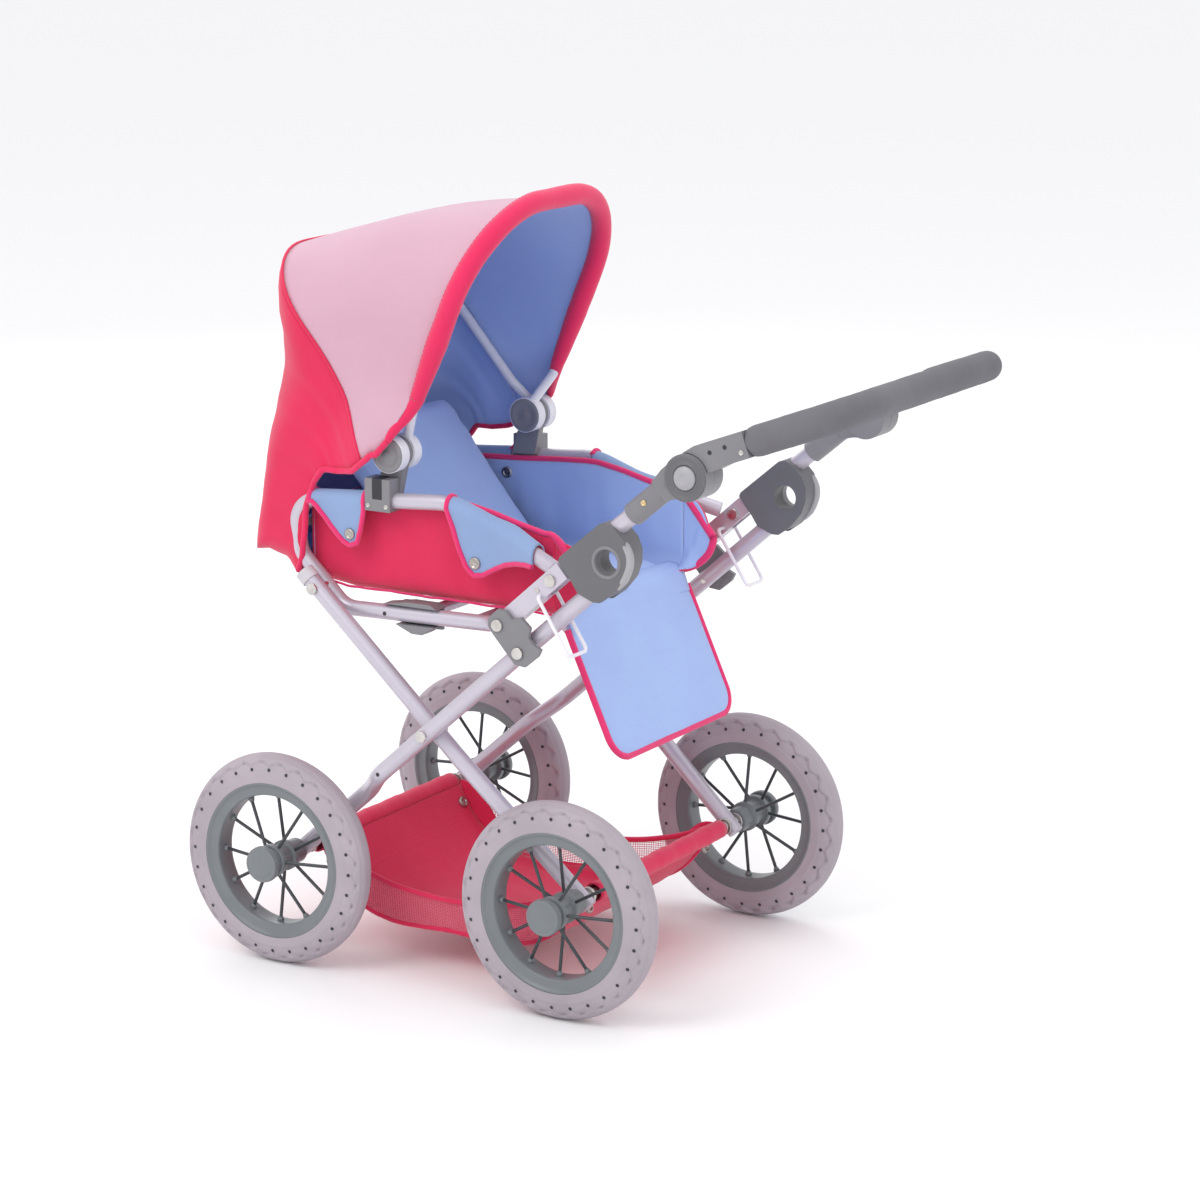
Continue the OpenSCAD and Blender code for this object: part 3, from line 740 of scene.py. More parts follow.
RIN = [(127, 20), (150, 20), (180, 22), (196, 36), (202, 60), (208, 82), (214, 104), (222, 124), (229, 141)]
HEMX = [(131, -22.0), (145, -34.0), (160, -50.0), (175, -65.5), (190, -75.5), (202, -83.0), (214, -84.5), (222, -87.0), (229, -92.0)]
HEMZ = [(131, -8.0), (145, -16.5), (160, -18.5), (175, -18.5), (190, -31.0), (202, -52.0), (214, -76.0), (222, -94.0), (229, -106.0)]
rows = []
angles = [RA + (214 - RA) * i / 40 for i in range(41)] + [214 + 15 * i / 8 for i in range(1, 9)]
back_rows = []
for a in angles:
    g = (a - RA) / (214 - RA)
    yw = 112.0 + 5.0 * math.sin(math.pi * min(1, g) * 0.5) + 1.2 * min(1, g * 8) * wob(a * 0.05, 3.0, 0.4)
    R = back_R(a)
    rin = min(lerp(a, RIN), R - 2)
    rc = 74 - 48 * smooth(g * 1.3)

    def dr(t, aa, g=g, a=a):
        k = smooth(g * 3)
        mid = math.sin(math.pi * t)
        return k * (2.2 * wob(t * 9, 1.7, 0.7 + g * 0.8) * mid - 2.0 * mid * abs(math.sin(math.pi * g)))
    back_rows.append(section(a, R, yw, 0.0, rin=rin, rc=rc, dr=dr if a < 214 else None))
Pb = to_row(warp(back_rows, [(lerp(a, HEMX), lerp(a, HEMZ)) for a in angles]))
hood_back = sheet_obj("hood_back_cloth", Pb, M["pink"], M["blue"], 0.0017, flip=False)
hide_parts("hood_back_panel")
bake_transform(hood_back)

# piping at the rear seam, and along the hem
seam = tube("hood_rear_seam_piping", [p + (p - F(-60, 0, 440)).normalized() * 0.0006 for p in Pb[0]], 0.0013, M["pink"], 8)
done(seam, "hood_rear")


def edge_line(P, side):
    """The hem of one wing: the first (or last) point of each row."""
    return [r[-1 if side < 0 else 0] for r in P]


for s, side in (("left", -1), ("right", 1)):
    ln = edge_line(Pb, side)
    pipe = tube(f"hood_hem_piping_{s}", smooth_line(ln[::2], 4), 0.0026, M["rim"], 10)
    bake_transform(pipe)
bottom = tube("hood_bottom_piping", smooth_line(Pb[-1][::2], 3), 0.0024, M["rim"], 10)
done(bottom, "seat_unit")


# ------------------------------------------------------------------ seat bag
TOP = [(-136, 384), (-128, 388), (-100, 391), (-60, 393), (-20, 396), (14, 397.5), (40, 393), (66, 386.5), (95, 380), (116, 373.5), (124, 362), (129.5, 346)]
BOT = [(-136, 318), (-100, 313.6), (60, 313.6), (98, 313.4), (112, 317), (122, 325), (129.5, 344)]


def bag_section(x, n=44):
    """Half outline from the near top edge, down, along the bottom and up the far side: (y, z)."""
    zt, zb = lerp(x, TOP), lerp(x, BOT)
    zt = max(zt, zb + 1.5)
    h = zt - zb
    rc = min(16.0, h * 0.45)
    w = 103.2
    pts = []
    for i in range(12):
        pts.append((-w, zt - (h - rc) * i / 12, i / 12))
    for i in range(8):
        t = math.pi / 2 * i / 8
        pts.append((-w + rc - rc * math.cos(t), zb + rc - rc * math.sin(t), 1))
    half = [(y, z, k) for y, z, k in pts]
    for i in range(n - 24 + 1):
        half.append((-w + rc + (2 * w - 2 * rc) * i / (n - 24), zb, 2))
    mirror = [(-y, z, k) for y, z, k in reversed(pts)]
    return half + mirror


xs = [-136 + 238 * i / 80 for i in range(81)]
bag_rows = []
for x in xs:
    row = []
    for y, z, k in bag_section(x):
        zt, zb = lerp(x, TOP), lerp(x, BOT)
        side = smooth((abs(y) - 60) / 40)
        d = min(1, max(0, (z - zb) / max(1, zt - zb)))
        amp = side * math.sin(math.pi * min(1, d)) if d < 1 else 0
        # soft folds that run down the side
        bulge = amp * (-0.9 + 1.3 * wob(x * 0.045 + d * 0.6, 1.6, 0.5 if y < 0 else 2.2))
        sgn = -1 if y < 0 else 1
        low = (1 - side) * (0.9 * wob(x * 0.06 + y * 0.02, 1.2, 3.1))
        row.append(F(x, y + sgn * bulge * 0.6 * (1 if abs(y) > 90 else 0), z + max(-0.6, low)))
    bag_rows.append(row)
bag = sheet_obj("seat_bag_cloth", bag_rows, M["pink"], M["blue"], 0.0022, flip=True)

# closing panel at the head end
z0, zt0 = 317.6, 384
cap_rows = []
for i in range(13):
    z = z0 + (zt0 - z0) * i / 12
    w = 103.0 if z > z0 + 16 else 103.0 - 16 + math.sqrt(max(0, 16 ** 2 - (16 - (z - z0)) ** 2))
    cap_rows.append([F(-136 + 0.8 * wob(y * 0.05, 1.5, 1.0), w * y / 100, z) for y in range(-100, 101, 10)])
head = sheet_obj("seat_bag_head_cloth", cap_rows, M["pink"], M["blue"], 0.0022, flip=False)
done(head, "seat_unit")
done(bag, "seat_unit", ["seat_bag"])

# piping along the top edges, both sides, and round the wing ends
for s, side in (("left", 0), ("right", -1)):
    sg = -1 if side == 0 else 1
    wing_rows = []
    for i in range(17):
        x = 102 + 27.6 * i / 16
        zt, zb = lerp(x, TOP), lerp(x, BOT)
        zt = max(zt, zb + 0.8)
        cur = [bag_rows[-1][k if side == 0 else -1 - k] for k in range(21)]
        row = []
        for k in range(21):
            h = k / 20
            base = cur[k]
            z = zt + (zb - zt) * h
            yy = abs(base.y * 1000)
            f = smooth(i / 10)
            row.append(F(x, sg * (yy + (102.6 - yy) * f + 0.9 * f * wob(x * 0.12 + h * 2, 1.5, 0.8)), base.z * 1000 * (1 - min(1, i / 4)) + z * min(1, i / 4)))
        wing_rows.append(row)
    wing = sheet_obj(f"seat_wing_{s}", wing_rows, M["pink"], M["blue"], 0.0022, flip=side == 0)
    done(wing, "seat_unit")
    ln = [r[side] for r in bag_rows] + [r[0] for r in wing_rows[4::4]]
    el = smooth_line([p + Vector((0, -sg * 0.0010, 0.0006)) for p in ln[::4] + [ln[-1]]], 6)
    pipe = tube(f"seat_edge_piping_{s}", el, [0.0025 + 0.0009 * smooth((q.x * 1000 - DX - 96) / 12) for q in el], M["pipe"], 10)
    done(pipe, "seat_unit")
    # the front edge of the wing, back to the leg rest
    wing = [F(*p) for p in [(129.5, sg * 103.2, 345), (128.5, sg * 103.2, 338), (124, sg * 102.8, 328.5), (116, sg * 101.5, 321), (108, sg * 99, 317), (101, sg * 95, 315.6)]]
    w = tube(f"seat_wing_piping_{s}", smooth_line(wing, 6), 0.0034, M["pipe"], 12)
    done(w, "seat_unit")
    # lower seam of the side wall
    low = [F(x, sg * (103.9), lerp(x, BOT) + 3.2 + 0.5 * wob(x * 0.05, 2.0, 1.0)) for x in range(-130, 101, 6)]
    done(tube(f"seat_low_seam_{s}", smooth_line(low, 3), 0.0011, M["pipe"], 6), "seat_unit")


# lining flaps turned out over the tube; their outer face uses a darker copy of the lining blue, painted shade


def rail_pt(x):
    z = lerp(x, [(-147, 387.7), (-20, 397.4), (0, 397.9), (10, 397.2), (22, 394.0), (60, 380.6), (90, 371.1), (119, 361.9)])
    y = lerp(x, [(-147, 112), (60, 112), (72, 114), (119, 133.4)])
    return y, z


def flap(name, side, edge, x0, x1):
    """edge gives the z of the free edge for x."""
    rows, n = [], 34
    for i in range(n + 1):
        x = x0 + (x1 - x0) * i / n
        ry, rz = rail_pt(x)
        ze = edge(x)
        row, rr = [], 8.3 + 1.9 * smooth((x - 46) / 24)
        row.append((103.8 - 1.4, rz - 9))
        row.append((103.6, rz - 4))
        for k in range(9):
            t = math.pi - math.pi * k / 8
            row.append((ry + rr * math.cos(t), rz + rr * math.sin(t)))
        zs = rz
        m = 14
        for k in range(1, m + 1):
            f = k / m
            z = zs + (min(ze, zs - 1.0) - zs) * f
            y = ry + rr - 0.4 * math.sin(math.pi * f) + 0.5 * f * wob(x * 0.08 + f, 2.0, 0.9)
            row.append((y, z))
        rows.append([F(x, side * y, z) for y, z in row])
    o = sheet_obj(name, rows, M["flap"], M["pink"], 0.0014, flip=side < 0)
    return o, rows


def tri_edge(pts):
    return lambda x: lerp(x, pts)


FLAP1 = [(-128, 392), (-118, 384), (-104, 369), (-93, 358.5), (-86, 355.5), (-79, 358.5), (-75, 372), (-72, 389)]
FLAP2 = [(8, 396), (14, 383), (21, 364), (28, 350), (35, 344.5), (43, 345.5), (54, 351.5), (66, 357), (78, 360), (90, 361.5), (99, 361.5)]
for s, side in (("left", -1), ("right", 1)):
    for tag, table, x0, x1 in (("head", FLAP1, -127, -72.6), ("foot", FLAP2, 8.6, 99)):
        o, rows = flap(f"flap_{tag}_{s}", side, tri_edge(table), x0, x1)
        done(o, "seat_unit")
        ln = [rows[0][-8]] + [r[-1] for r in rows] + [rows[-1][-8]]
        if tag == "foot":
            first = [rows[0][k] for k in (4, 6, 8, 10, 14, 18)]
            ln = first + [r[-1] for r in rows[1:]]
        else:
            ln = [rows[0][k] for k in (4, 6, 8, 10)] + [r[-1] for r in rows] + [rows[-1][k] for k in (20, 14, 10, 8, 6, 4)]
        p = tube(f"flap_piping_{tag}_{s}", smooth_line(ln, 4), 0.0021, M["pipe"], 10)
        done(p, "seat_unit")

# press studs on the seat unit
parts = []
for side in (-1, 1):
    parts.append(dome(F(36, side * 120.7, 354.5), (0, side, 0), 0.0052, 0.0016))
    parts.append(dome(F(-86, side * 120.7, 365), (0, side, 0), 0.0048, 0.0016))
    parts.append(dome(F(-74, side * 100.4, 380), (0, -side, 0), 0.005, 0.0014))
V, Fc, ids = join_data(parts)
done(mesh_obj("seat_press_studs", V, Fc, M["snap"]), "seat_unit", ["seat_snaps"])

# pink webbing tab at the crotch strap
tab = []
for i in range(9):
    f = i / 8
    tab.append([F(84 + 18 * f, -16 + y, 329 + 2.5 * math.sin(math.pi * f) - 1.5 * f) for y in range(-9, 10, 3)])
o = sheet_obj("crotch_strap_tab", tab, M["pipe"], M["pipe"], 0.0016, flip=True)
done(o, "seat_unit")


# ------------------------------------------------------------------ padded pieces by cloth simulation
def loop_pad(name, line, half_w, thick, nw=24, corner=10.0):
    """A closed pad from a centre line [(x, z)] with a thickness, drawn across y."""
    pts = smooth_line([(x, 0, z) for x, z in line], 6)
    rows = []
    m = len(pts)
    for i, p in enumerate(pts):
        a, b = pts[max(0, i - 1)], pts[min(m - 1, i + 1)]
        t = (b - a).normalized()
        nrm = Vector((-t.z, 0, t.x))
        end = min(1, min(i, m - 1 - i) / 2.5)
        h = thick / 2 * (0.7 + 0.3 * math.sin(end * math.pi / 2))
        inset = corner * (1 - min(1, min(i, m - 1 - i) / 5)) ** 2
        w = half_w - inset
        ring = []
        for k in range(nw + 1):
            y = -w + 2 * w * k / nw
            e = min(1, min(k, nw - k) / 2)
            ring.append((y, h * (0.75 + 0.25 * math.sin(e * math.pi / 2))))
        up = [p + nrm * hh + Vector((0, y, 0)) for y, hh in ring]
        dn = [p - nrm * hh + Vector((0, y, 0)) for y, hh in reversed(ring)]
        rows.append([F(v.x, v.y, v.z) for v in up + dn])
    n = len(rows[0])
    faces = grid_faces(m, n, cv=True) + [tuple(range(n)), tuple((m - 1) * n + k for k in reversed(range(n)))]
    o = mesh_obj(name, [p for r in rows for p in r], faces, M["blue"])
    bm = bmesh.new()
    bm.from_mesh(o.data)
    bmesh.ops.triangulate(bm, faces=[f for f in bm.faces if len(f.verts) > 4])
    bmesh.ops.recalc_face_normals(bm, faces=bm.faces)
    bm.to_mesh(o.data)
    bm.free()
    return o


def inflate(o, voxel=0.005, pressure=4.0, cap=0.006, mat=None, frames=18):
    r = o.modifiers.new("vox", "REMESH")
    r.mode, r.voxel_size, r.use_smooth_shade = "VOXEL", voxel, True
    apply(o)
    o.data.materials.clear()
    o.data.materials.append(mat or M["blue"])
    rest = np.array([v.co for v in o.data.vertices], float)
    c = o.modifiers.new("cloth", "CLOTH")
    c.settings.quality = 5
    c.settings.mass = 0.2
    c.settings.tension_stiffness = 18
    c.settings.compression_stiffness = 18
    c.settings.shear_stiffness = 8
    c.settings.bending_stiffness = 1.2
    c.settings.use_pressure = True
    c.settings.uniform_pressure_force = pressure
    c.settings.effector_weights.gravity = 0
    c.point_cache.frame_start, c.point_cache.frame_end = 1, frames + 2
    sc = bpy.context.scene
    for fr in range(1, frames + 1):
        sc.frame_set(fr)
    apply(o)
    bpy.context.scene.frame_set(1)
    now = np.array([v.co for v in o.data.vertices], float)
    d = now - rest
    ln = np.linalg.norm(d, axis=1)
    k = np.where(ln > cap, cap / np.maximum(ln, 1e-9), 1.0)
    o.data.vertices.foreach_set("co", (rest + d * k[:, None]).astype(np.float32).ravel())
    o.data.update()
    sm = o.modifiers.new("smooth", "SMOOTH")
    sm.factor, sm.iterations = 0.5, 8
    s = o.modifiers.new("sub", "SUBSURF")
    s.levels = s.render_levels = 1
    apply(o)
    return o


mattress = inflate(loop_pad("backrest_mattress", [(-133.5, 447), (-120, 430), (-96, 399), (-68, 363), (-47, 338), (-35, 326.5), (-20, 322.8), (10, 321.6), (50, 320.6), (97, 320.0)], 92.5, 7.0), voxel=0.004, cap=0.004, pressure=3.5)
done(mattress, "seat_unit", ["seat_pad"])


def leg_outline(v):
    """Half width of the leg rest at v, from the hinge (0) to its lower edge (1)."""
    L, rc, W = 113.0, 20.0, 96.5
    e = L * (1 - v)
    return W if e >= rc else W - rc + math.sqrt(max(0.0, rc * rc - (rc - e) ** 2))


def leg_pt(v, u, side):
    """side +1 is the face towards the pusher."""
    x0, z0, x1, z1 = 107.2, 305.6, 154.8, 200.9
    x, z = x0 + (x1 - x0) * v, z0 + (z1 - z0) * v
    nx, nz = (z0 - z1) / 115, (x1 - x0) / 115
    edge = max(0.0, 1 - abs(u) ** 10) ** 0.5 * max(0.0, 1 - abs(2 * v - 1) ** 16) ** 0.5
    soft = 2.5 + 0.45 * wob(u * 2.2 + v * 3, 1.6, 0.8) + 0.5 * math.exp(-((v - 0.18) / 0.12) ** 2)
    h = side * soft * edge
    return F(x + nx * h, leg_outline(v) * u, z + nz * h)


nv, nu = 46, 48
us = [math.sin(math.pi / 2 * (-1 + 2 * k / nu)) * 0.35 + (-1 + 2 * k / nu) * 0.65 for k in range(nu + 1)]
vs = [0.5 - 0.5 * math.cos(math.pi * j / nv) for j in range(nv + 1)]
front = [[leg_pt(v, u, 1) for u in us] for v in vs]
rear = [[leg_pt(v, u, -1) for u in us] for v in vs]
V = [p for r in front for p in r] + [p for r in rear for p in r]
k = (nv + 1) * (nu + 1)
leg = mesh_obj("leg_rest_pad", V, grid_faces(nv + 1, nu + 1, flip=False) + grid_faces(nv + 1, nu + 1, flip=True, base=k), M["blue"])
bm = bmesh.new()
bm.from_mesh(leg.data)
bmesh.ops.remove_doubles(bm, verts=bm.verts, dist=0.00005)
bmesh.ops.recalc_face_normals(bm, faces=bm.faces)
bm.to_mesh(leg.data)
bm.free()
leg.data.polygons.foreach_set("use_smooth", [True] * len(leg.data.polygons))
done(leg, "leg_rest_flap", ["leg_rest"])
# cloth that runs from the seat down to the leg rest
bridge = []
for x, z in [(90, 321.5), (96, 321.2), (101, 319.6), (105, 316.4), (108, 312), (110, 306.5), (112.5, 299)]:
    bridge.append((x, z))
bridge = smooth_line([(x, 0, z) for x, z in bridge], 3)
rows = [[F(p.x, y * 0.94, p.z + 0.5 * wob(y * 0.05, 1.7, p.x)) for y in range(-100, 101, 5)] for p in bridge]
o = sheet_obj("seat_front_cloth", rows, M["blue"], M["blue"], 0.0016, flip=False)
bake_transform(o)


def leg_edge():
    pts = []
    for v in [0.02, 0.2, 0.4, 0.6, 0.76]:
        pts.append((v, -1))
    for k in range(0, 9):
        e = 20 * (1 - math.sin(math.pi / 2 * k / 8))
        pts.append((1 - e / 113.0, -1))
    for u in (-0.6, -0.3, 0, 0.3, 0.6):
        pts.append((1, u))
    out = [leg_pt(v, u, 0) for v, u in pts]
    half = [leg_pt(v, -u, 0) for v, u in reversed(pts[:14])]
    return out + half


done(tube("leg_rest_piping", smooth_line(leg_edge(), 5), 0.0027, M["pipe"], 12), "leg_rest_flap")

# ------------------------------------------------------------------ basket
def b_bot(x):
    a = min(1.0, abs(x) / 129.2)
    return 27.5 + 57 * a ** 4.6 + 5.5 * a ** 2


def b_top(x):
    a = min(1.0, abs(x) / 129.2)
    return 62 + 29 * a ** 2.2


rows = []
for i in range(53):
    x = 129.0 * math.sin(math.pi / 2 * (-1 + 2 * i / 52))
    row = []
    for k in range(33):
        y = -105 + 210 * k / 32
        edge = max(0, (abs(y) - 88) / 17)
        sag = 2.2 * math.cos(y / 105 * math.pi / 2) * (1 - (x / 137) ** 2)
        z = b_bot(x) - sag + 7 * edge ** 2 * (1 - abs(x) / 137) + 0.8 * wob(y * 0.06 + x * 0.02, 1.8, 0.6) * (1 - (x / 140) ** 2)
        row.append(F(x, y, max(24.3, z)))
    rows.append(row)
floor_rows = rows
basket = sheet_obj("basket_floor_cloth", rows, M["pink"], M["pink"], 0.0018, flip=True)
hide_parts("basket")
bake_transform(basket)
basket_extra = []


def gusset(side, m):
    """The cloth corner beside an axle that carries the stud."""
    rows = []
    for i in range(13):
        f = i / 12
        x = m * (129 - 42 * f)
        zt = 94 - (94 - b_bot(x) - 14) * f ** 1.3 * 0.9
        zb = b_bot(x) + 0.5
        rows.append([F(x, side * (105 + 1.5 * (k / 8)), zb + (max(zt, zb + 1) - zb) * k / 8) for k in range(9)])
    return rows


for s, side in (("left", -1), ("right", 1)):
    # netting
    nx, nz = 110, 20
    P = []
    for i in range(nx + 1):
        x = -127.5 + 255 * i / nx
        lo, hi = b_bot(x) + 7 * (1 - abs(x) / 137) + 0.5, b_top(x)
        hi = max(hi, lo + 0.5)
        P.append([F(x, side * (105.2 + 4.0 * math.sin(math.pi * k / nz * 0.5) * (1 - (x / 140) ** 2) + 0.8 * wob(x * 0.05, 2.0, k * 0.05)), lo + (hi - lo) * k / nz) for k in range(nz + 1)])
    V = [p for r in P for p in r]
    o = mesh_obj(f"basket_net_{s}", V, grid_faces(nx + 1, nz + 1), M["net"])
    w = o.modifiers.new("net", "WIREFRAME")
    w.thickness, w.use_even_offset, w.use_boundary = 0.00085, False, True
    apply(o)
    basket_extra.append(o)
    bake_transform(o)
    top = tube(f"basket_top_piping_{s}", smooth_line([P[i][-1] for i in range(0, nx + 1, 5)], 5), 0.0024, M["pink"], 10)
    low = tube(f"basket_low_piping_{s}", smooth_line([P[i][0] + Vector((0, 0, -0.0006)) for i in range(0, nx + 1, 5)], 5), 0.0022, M["pink"], 10)
    basket_extra += [top, low]
    for q in (top, low):
        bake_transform(q)
    for tag, m in (("front", -1), ("rear", 1)):
        g = sheet_obj(f"basket_gusset_{tag}_{s}", gusset(side, m), M["pink"], M["pink"], 0.0014, flip=True)
        basket_extra.append(g)
        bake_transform(g)

# sleeves round the axles, closed by studs
parts = []
for tag, m in (("front", -1), ("rear", 1)):
    ring_rows = []
    for k in range(41):
        y = -104 + 208 * k / 40
        rr = 8.0 + 0.5 * wob(y * 0.07, 2.4, m)
        ring_rows.append([F(m * 137.3 + rr * math.cos(t), y, 90 + rr * math.sin(t)) for t in [D(m * q if m > 0 else 180 + q) for q in range(-180, 181, 15)]])
    o = sheet_obj(f"basket_sleeve_{tag}", ring_rows, M["pink"], M["pink"], 0.0012, flip=m < 0)
    o = done(o, f"chassis_{tag}")
    basket_extra.append(o)
    parts = [dome(F(m * 127.6, side * 96, 74), (m * 0.9, 0, 0.42), 0.0052, 0.0018) for side in (-1, 1)]
    parts += [dome(F(m * 119.5, side * 96, 77), (-m * 0.9, 0, 0.42), 0.0052, 0.0018) for side in (-1, 1)]
    V, Fc, ids = join_data(parts)
    done(mesh_obj(f"basket_studs_{tag}", V, Fc, M["snap"]), f"chassis_{tag}", ["basket_snaps"] if tag == "front" else [])

# ------------------------------------------------------------------ foam grip
AG = D(20.5)


def J(v, w):
    return 253.3 + v * math.cos(AG) - w * math.sin(AG), 454 + v * math.sin(AG) + w * math.cos(AG)


pts = []
for y0, v0 in ((148, 58.3), (148, 66), (148, 78), (148, 88)):
    pts.append((v0, y0))
for i in range(1, 12):
    t = math.pi / 2 * i / 11
    pts.append((90.6 + 40 * math.sin(t), 108 + 40 * math.cos(t)))
for i in range(1, 24):
    pts.append((130.6, 108 - 216 * i / 24))
for i in range(0, 11):
    t = math.pi / 2 * i / 11
    pts.append((90.6 + 40 * math.cos(t), -108 - 40 * math.sin(t)))
for v0 in (90.6, 88, 78, 66, 58.3):
    pts.append((v0, -148))
line = []
for v, y in pts:
    x, z = J(v, 10.8)
    line.append(F(x, y, z))
line = smooth_line(line, 3)
rs = []
for i in range(len(line)):
    t = i / (len(line) - 1)
    e = min(1, min(i, len(line) - 1 - i) / 3)
    rs.append(0.01225 * (0.9 + 0.1 * math.sin(e * math.pi / 2)) + 0.00014 * wob(t * 50, 1.0, 0.3))
foam = tube("grip_foam_sleeve", line, rs, M["foam"], 32)
done(foam, "grip_handle", ["grip_foam"])


# ------------------------------------------------------------------ small moulded details
def disc(centre, axis, prof, n=40):
    axis = Vector(axis).normalized()
    u = axis.orthogonal().normalized()
    w = axis.cross(u)
    verts = [Vector(centre) + axis * h / 1000 + (u * math.cos(2 * math.pi * k / n) + w * math.sin(2 * math.pi * k / n)) * r / 1000 for r, h in prof for k in range(n)]
    return verts, grid_faces(len(prof), n, cv=True, flip=True), 0


for s, side in (("left", -1), ("right", 1)):
    ax = (0, side, 0)
    # tilt joint: raised ring and a lighter centre on the button
    ring = disc(F(253.3, side * 161.5, 454), ax, [(18.0, -0.5), (18.0, 0.5), (17.4, 1.0), (15.6, 1.0), (15.0, 0.4), (12.2, 0.3), (11.8, 0.9), (10.4, 0.9), (9.9, 0.2)])
    V, Fc, ids = join_data([ring])
    done(mesh_obj(f"joint_ring_{s}", V, Fc, M["plastic_dark"]), "handle_lower")
    btn = disc(F(253.3, side * 163.6, 454), ax, [(0.01, 0.3), (3.5, 0.35), (4.2, 0.9), (5.4, 0.9), (6.0, 0.3), (8.6, 0.05), (9.2, -0.6)])
    V, Fc, ids = join_data([btn])
    done(mesh_obj(f"button_face_{s}", V, Fc, M["plastic_light"]), f"button_{s}")
    # small rivets and holes in the arm; the holes are dark discs, painted shade standing in for their depth
    parts = []
    for v, w in ((26, 13), (40, 13.5)):
        x, z = J(v, w)
        parts.append(disc(F(x, side * 159.0, z), ax, [(0.01, 0.06), (1.7, 0.08), (1.9, 0.04)], 16))
    V, Fc, ids = join_data(parts)
    done(mesh_obj(f"arm_holes_{s}", V, Fc, M["dark"]), "grip_handle")
    x, z = J(52.5, 6)
    V, Fc, ids = join_data([dome(F(x, side * 159.1, z), ax, 0.0022, 0.0009)])
    done(mesh_obj(f"arm_rivet_{s}", V, Fc, M["steel"]), "grip_handle")
    # gold rivet on the joint sleeve
    hx, hz = 128.16, 357.83
    c, q = math.cos(D(39.9)), math.sin(D(39.9))
    px, pz = hx + 112 * c, hz + 112 * q
    V, Fc, ids = join_data([dome(F(px, side * 156.5, pz), ax, 0.0024, 0.0012)])
    done(mesh_obj(f"sleeve_rivet_{s}", V, Fc, M["brass"]), "handle_lower")
    # hood hinge discs: concentric ring faces
    V, Fc, ids = join_data([disc(F(HG[0], side * 118.0, HG[1]), ax, [(0.01, 0.9), (3.2, 0.9), (4.0, 0.3), (9.5, 0.2), (10.2, 0.9), (13.2, 0.9), (14.6, 0.1), (15.0, -1.0)])])
    done(mesh_obj(f"hood_disc_face_{s}", V, Fc, M["plastic"]), "hood_rear")
    V, Fc, ids = join_data([disc(F(HG[0], side * 89.9, HG[1]), (0, -side, 0), [(0.01, 0.6), (3.0, 0.6), (3.8, 0.2), (9.5, 0.1), (10.5, 0.6), (13.4, 0.5), (14.8, -0.3)])])
    done(mesh_obj(f"hood_disc_inner_{s}", V, Fc, M["plastic"]), "hood_front")
    # hood mount: dark slot and two screws on the outer face; the slot is two dark quads, painted shade standing in for
    # its depth
    slot = [F(x, side * 121.75, z) for x, z in ((-62.5, 397), (-53, 397), (-53, 414.2), (-62.5, 414.2))]
    slot += [F(x, side * (107.8 if k > 1 else 121.7), z) for k, (x, z) in enumerate(((-53, 414.25), (-62.5, 414.25), (-62.5, 414.25), (-53, 414.25)))]
    done(mesh_obj(f"hood_mount_slot_{s}", slot, [(0, 1, 2, 3), (4, 5, 6, 7)], M["dark"], False), "seat_unit")
    V, Fc, ids = join_data([dome(F(-66.5, side * 121.6, 391.5), ax, 0.0021, 0.0009), dome(F(-49, side * 121.6, 391.5), ax, 0.0021, 0.0009)])
    done(mesh_obj(f"hood_mount_screws_{s}", V, Fc, M["steel"]), "seat_unit")
    # finger ring and pin of the sliding lock
    def H(u, v):
        return hx + u * c - v * q, hz + u * q + v * c
    ring = [H(u, v) for u, v in ((75.2, -13.0), (74.8, -18), (72.6, -25), (67.2, -31), (57.5, -36.2), (47, -38.6))]
    line = smooth_line([F(x, side * 153.6, z) for x, z in ring], 6)
    rs = [0.0034 * (0.55 + 0.45 * min(1, min(i, len(line) - 1 - i) / 5)) for i in range(len(line))]
    done(tube(f"lock_finger_ring_{s}", line, rs, M["plastic_light"], 14), f"lock_{s}")
    lx, lz = H(53.5, -17.5)
    hole = disc(F(lx, side * 156.6, lz), ax, [(10.2, -8), (10.3, 0.0), (11.2, 0.8), (12.6, 0.8), (13.2, 0.0)])
    V, Fc, ids = join_data([hole])
    done(mesh_obj(f"lock_hole_ring_{s}", V, Fc, M["plastic"]), f"lock_{s}")
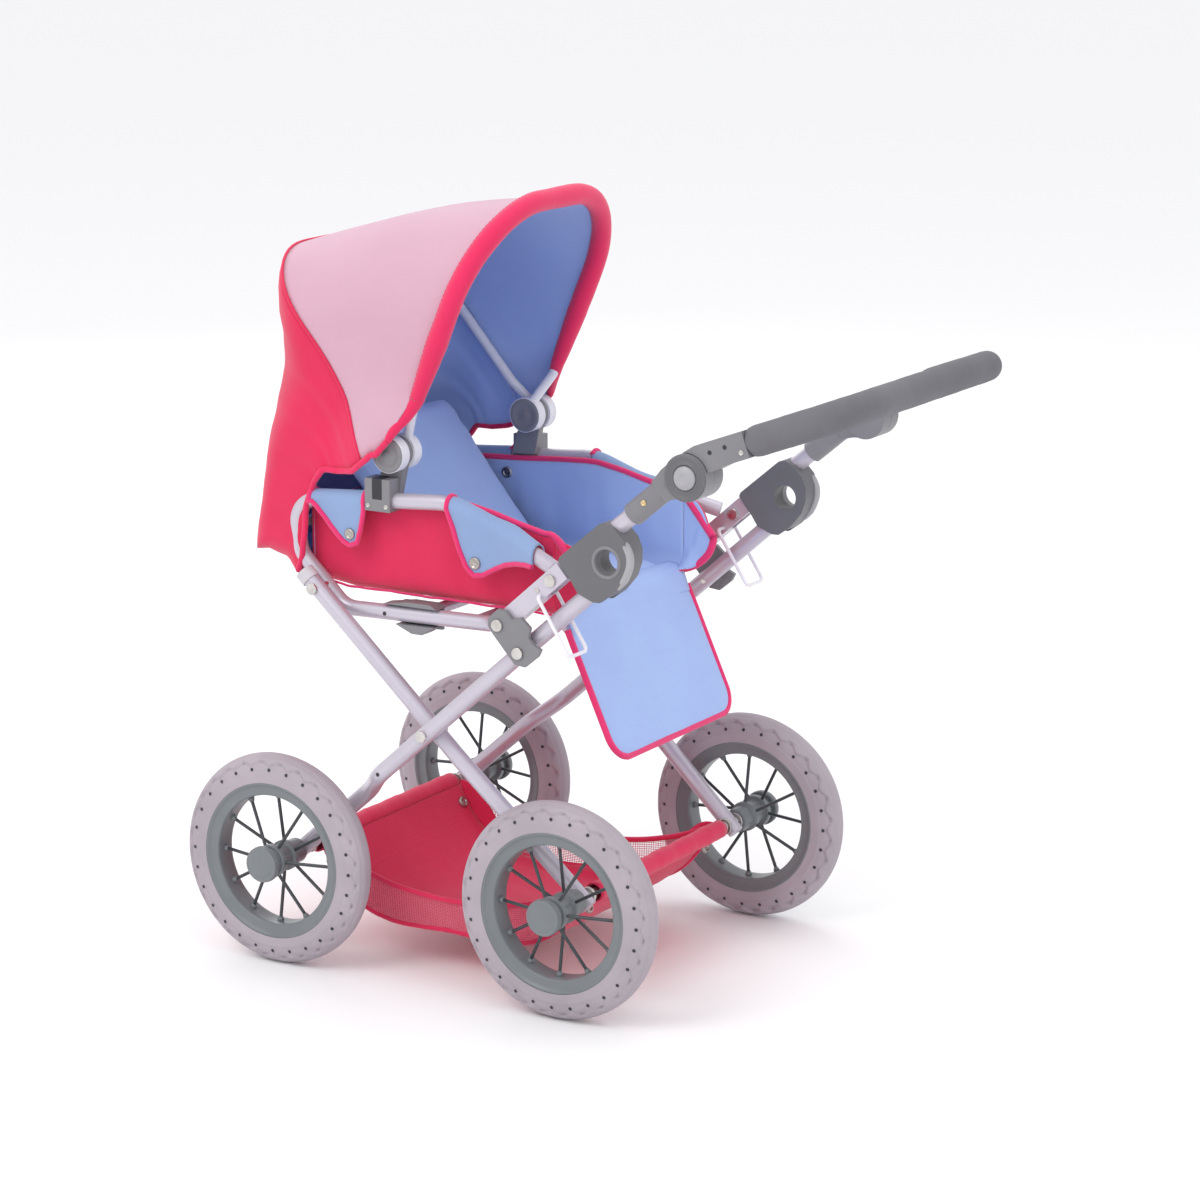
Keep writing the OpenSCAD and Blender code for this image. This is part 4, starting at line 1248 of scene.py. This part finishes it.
    # holes on the tubes: dark discs, painted shade standing in for their depth
    for nm, x, z, y, body in (("front_leg_hole", -40.5, 174.5, 151.45, "chassis_front"), ("seat_arm_hole", -54, 301.5, 118.6, "seat_unit")):
        V, Fc, ids = join_data([disc(F(x, side * y, z), ax, [(0.01, 0.05), (1.5, 0.07), (1.8, 0.0)], 16)])
        done(mesh_obj(f"{nm}_{s}", V, Fc, M["dark"]), body)


# ------------------------------------------------------------------ stage
def area_light(name, loc, target, size, power, color=(1, 1, 1)):
    data = bpy.data.lights.new(name, "AREA")
    data.shape, data.size, data.energy, data.color = "DISK", size, power, color
    o = bpy.data.objects.new(name, data)
    bpy.context.scene.collection.objects.link(o)
    o.location = loc
    o.rotation_mode = "QUATERNION"
    o.rotation_quaternion = (Vector(target) - Vector(loc)).to_track_quat("-Z", "Y")
    return o


fl = mesh_obj("studio_floor", [(-12, -12, -0.0004), (12, -12, -0.0004), (12, 12, -0.0004), (-12, 12, -0.0004)], [(0, 1, 2, 3)], Mat("floor_white", (0.93, 0.93, 0.935, 1), 0.8).m, False)
fl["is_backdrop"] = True
area_light("key", (-0.7, -2.2, 2.5), (0, 0, 0.3), 1.6, 26, (1.0, 0.985, 0.97))
area_light("fill", (2.6, -1.2, 1.5), (0, 0, 0.3), 1.8, 7, (0.97, 0.98, 1.0))
area_light("top", (0.0, 0.6, 3.0), (0, 0, 0.2), 2.2, 13)
area_light("back", (-2.0, 1.8, 1.6), (0, 0, 0.35), 1.4, 7)
world = bpy.data.worlds.new("studio")
world.use_nodes = True
world.node_tree.nodes["Background"].inputs[0].default_value = (0.98, 0.98, 1.0, 1)
world.node_tree.nodes["Background"].inputs[1].default_value = 1.0
bpy.context.scene.world = world
bpy.context.scene.view_settings.view_transform = "Standard"
bpy.context.scene.view_settings.look = "None"

cam = bpy.data.objects.new("camera", bpy.data.cameras.new("camera"))
bpy.context.scene.collection.objects.link(cam)
a, e = D(31.104), D(13.289)
back = Vector((math.sin(a) * math.cos(e), -math.cos(a) * math.cos(e), math.sin(e)))
cam.location = F(80.56, 0, 305.4) + back * 3.0897
cam.rotation_mode = "QUATERNION"
cam.rotation_quaternion = (-back).to_track_quat("-Z", "Y")
cam.data.lens, cam.data.sensor_width = 112.08, 36
cam.data.clip_start, cam.data.clip_end = 0.1, 60
bpy.context.scene.camera = cam

lo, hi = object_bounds()
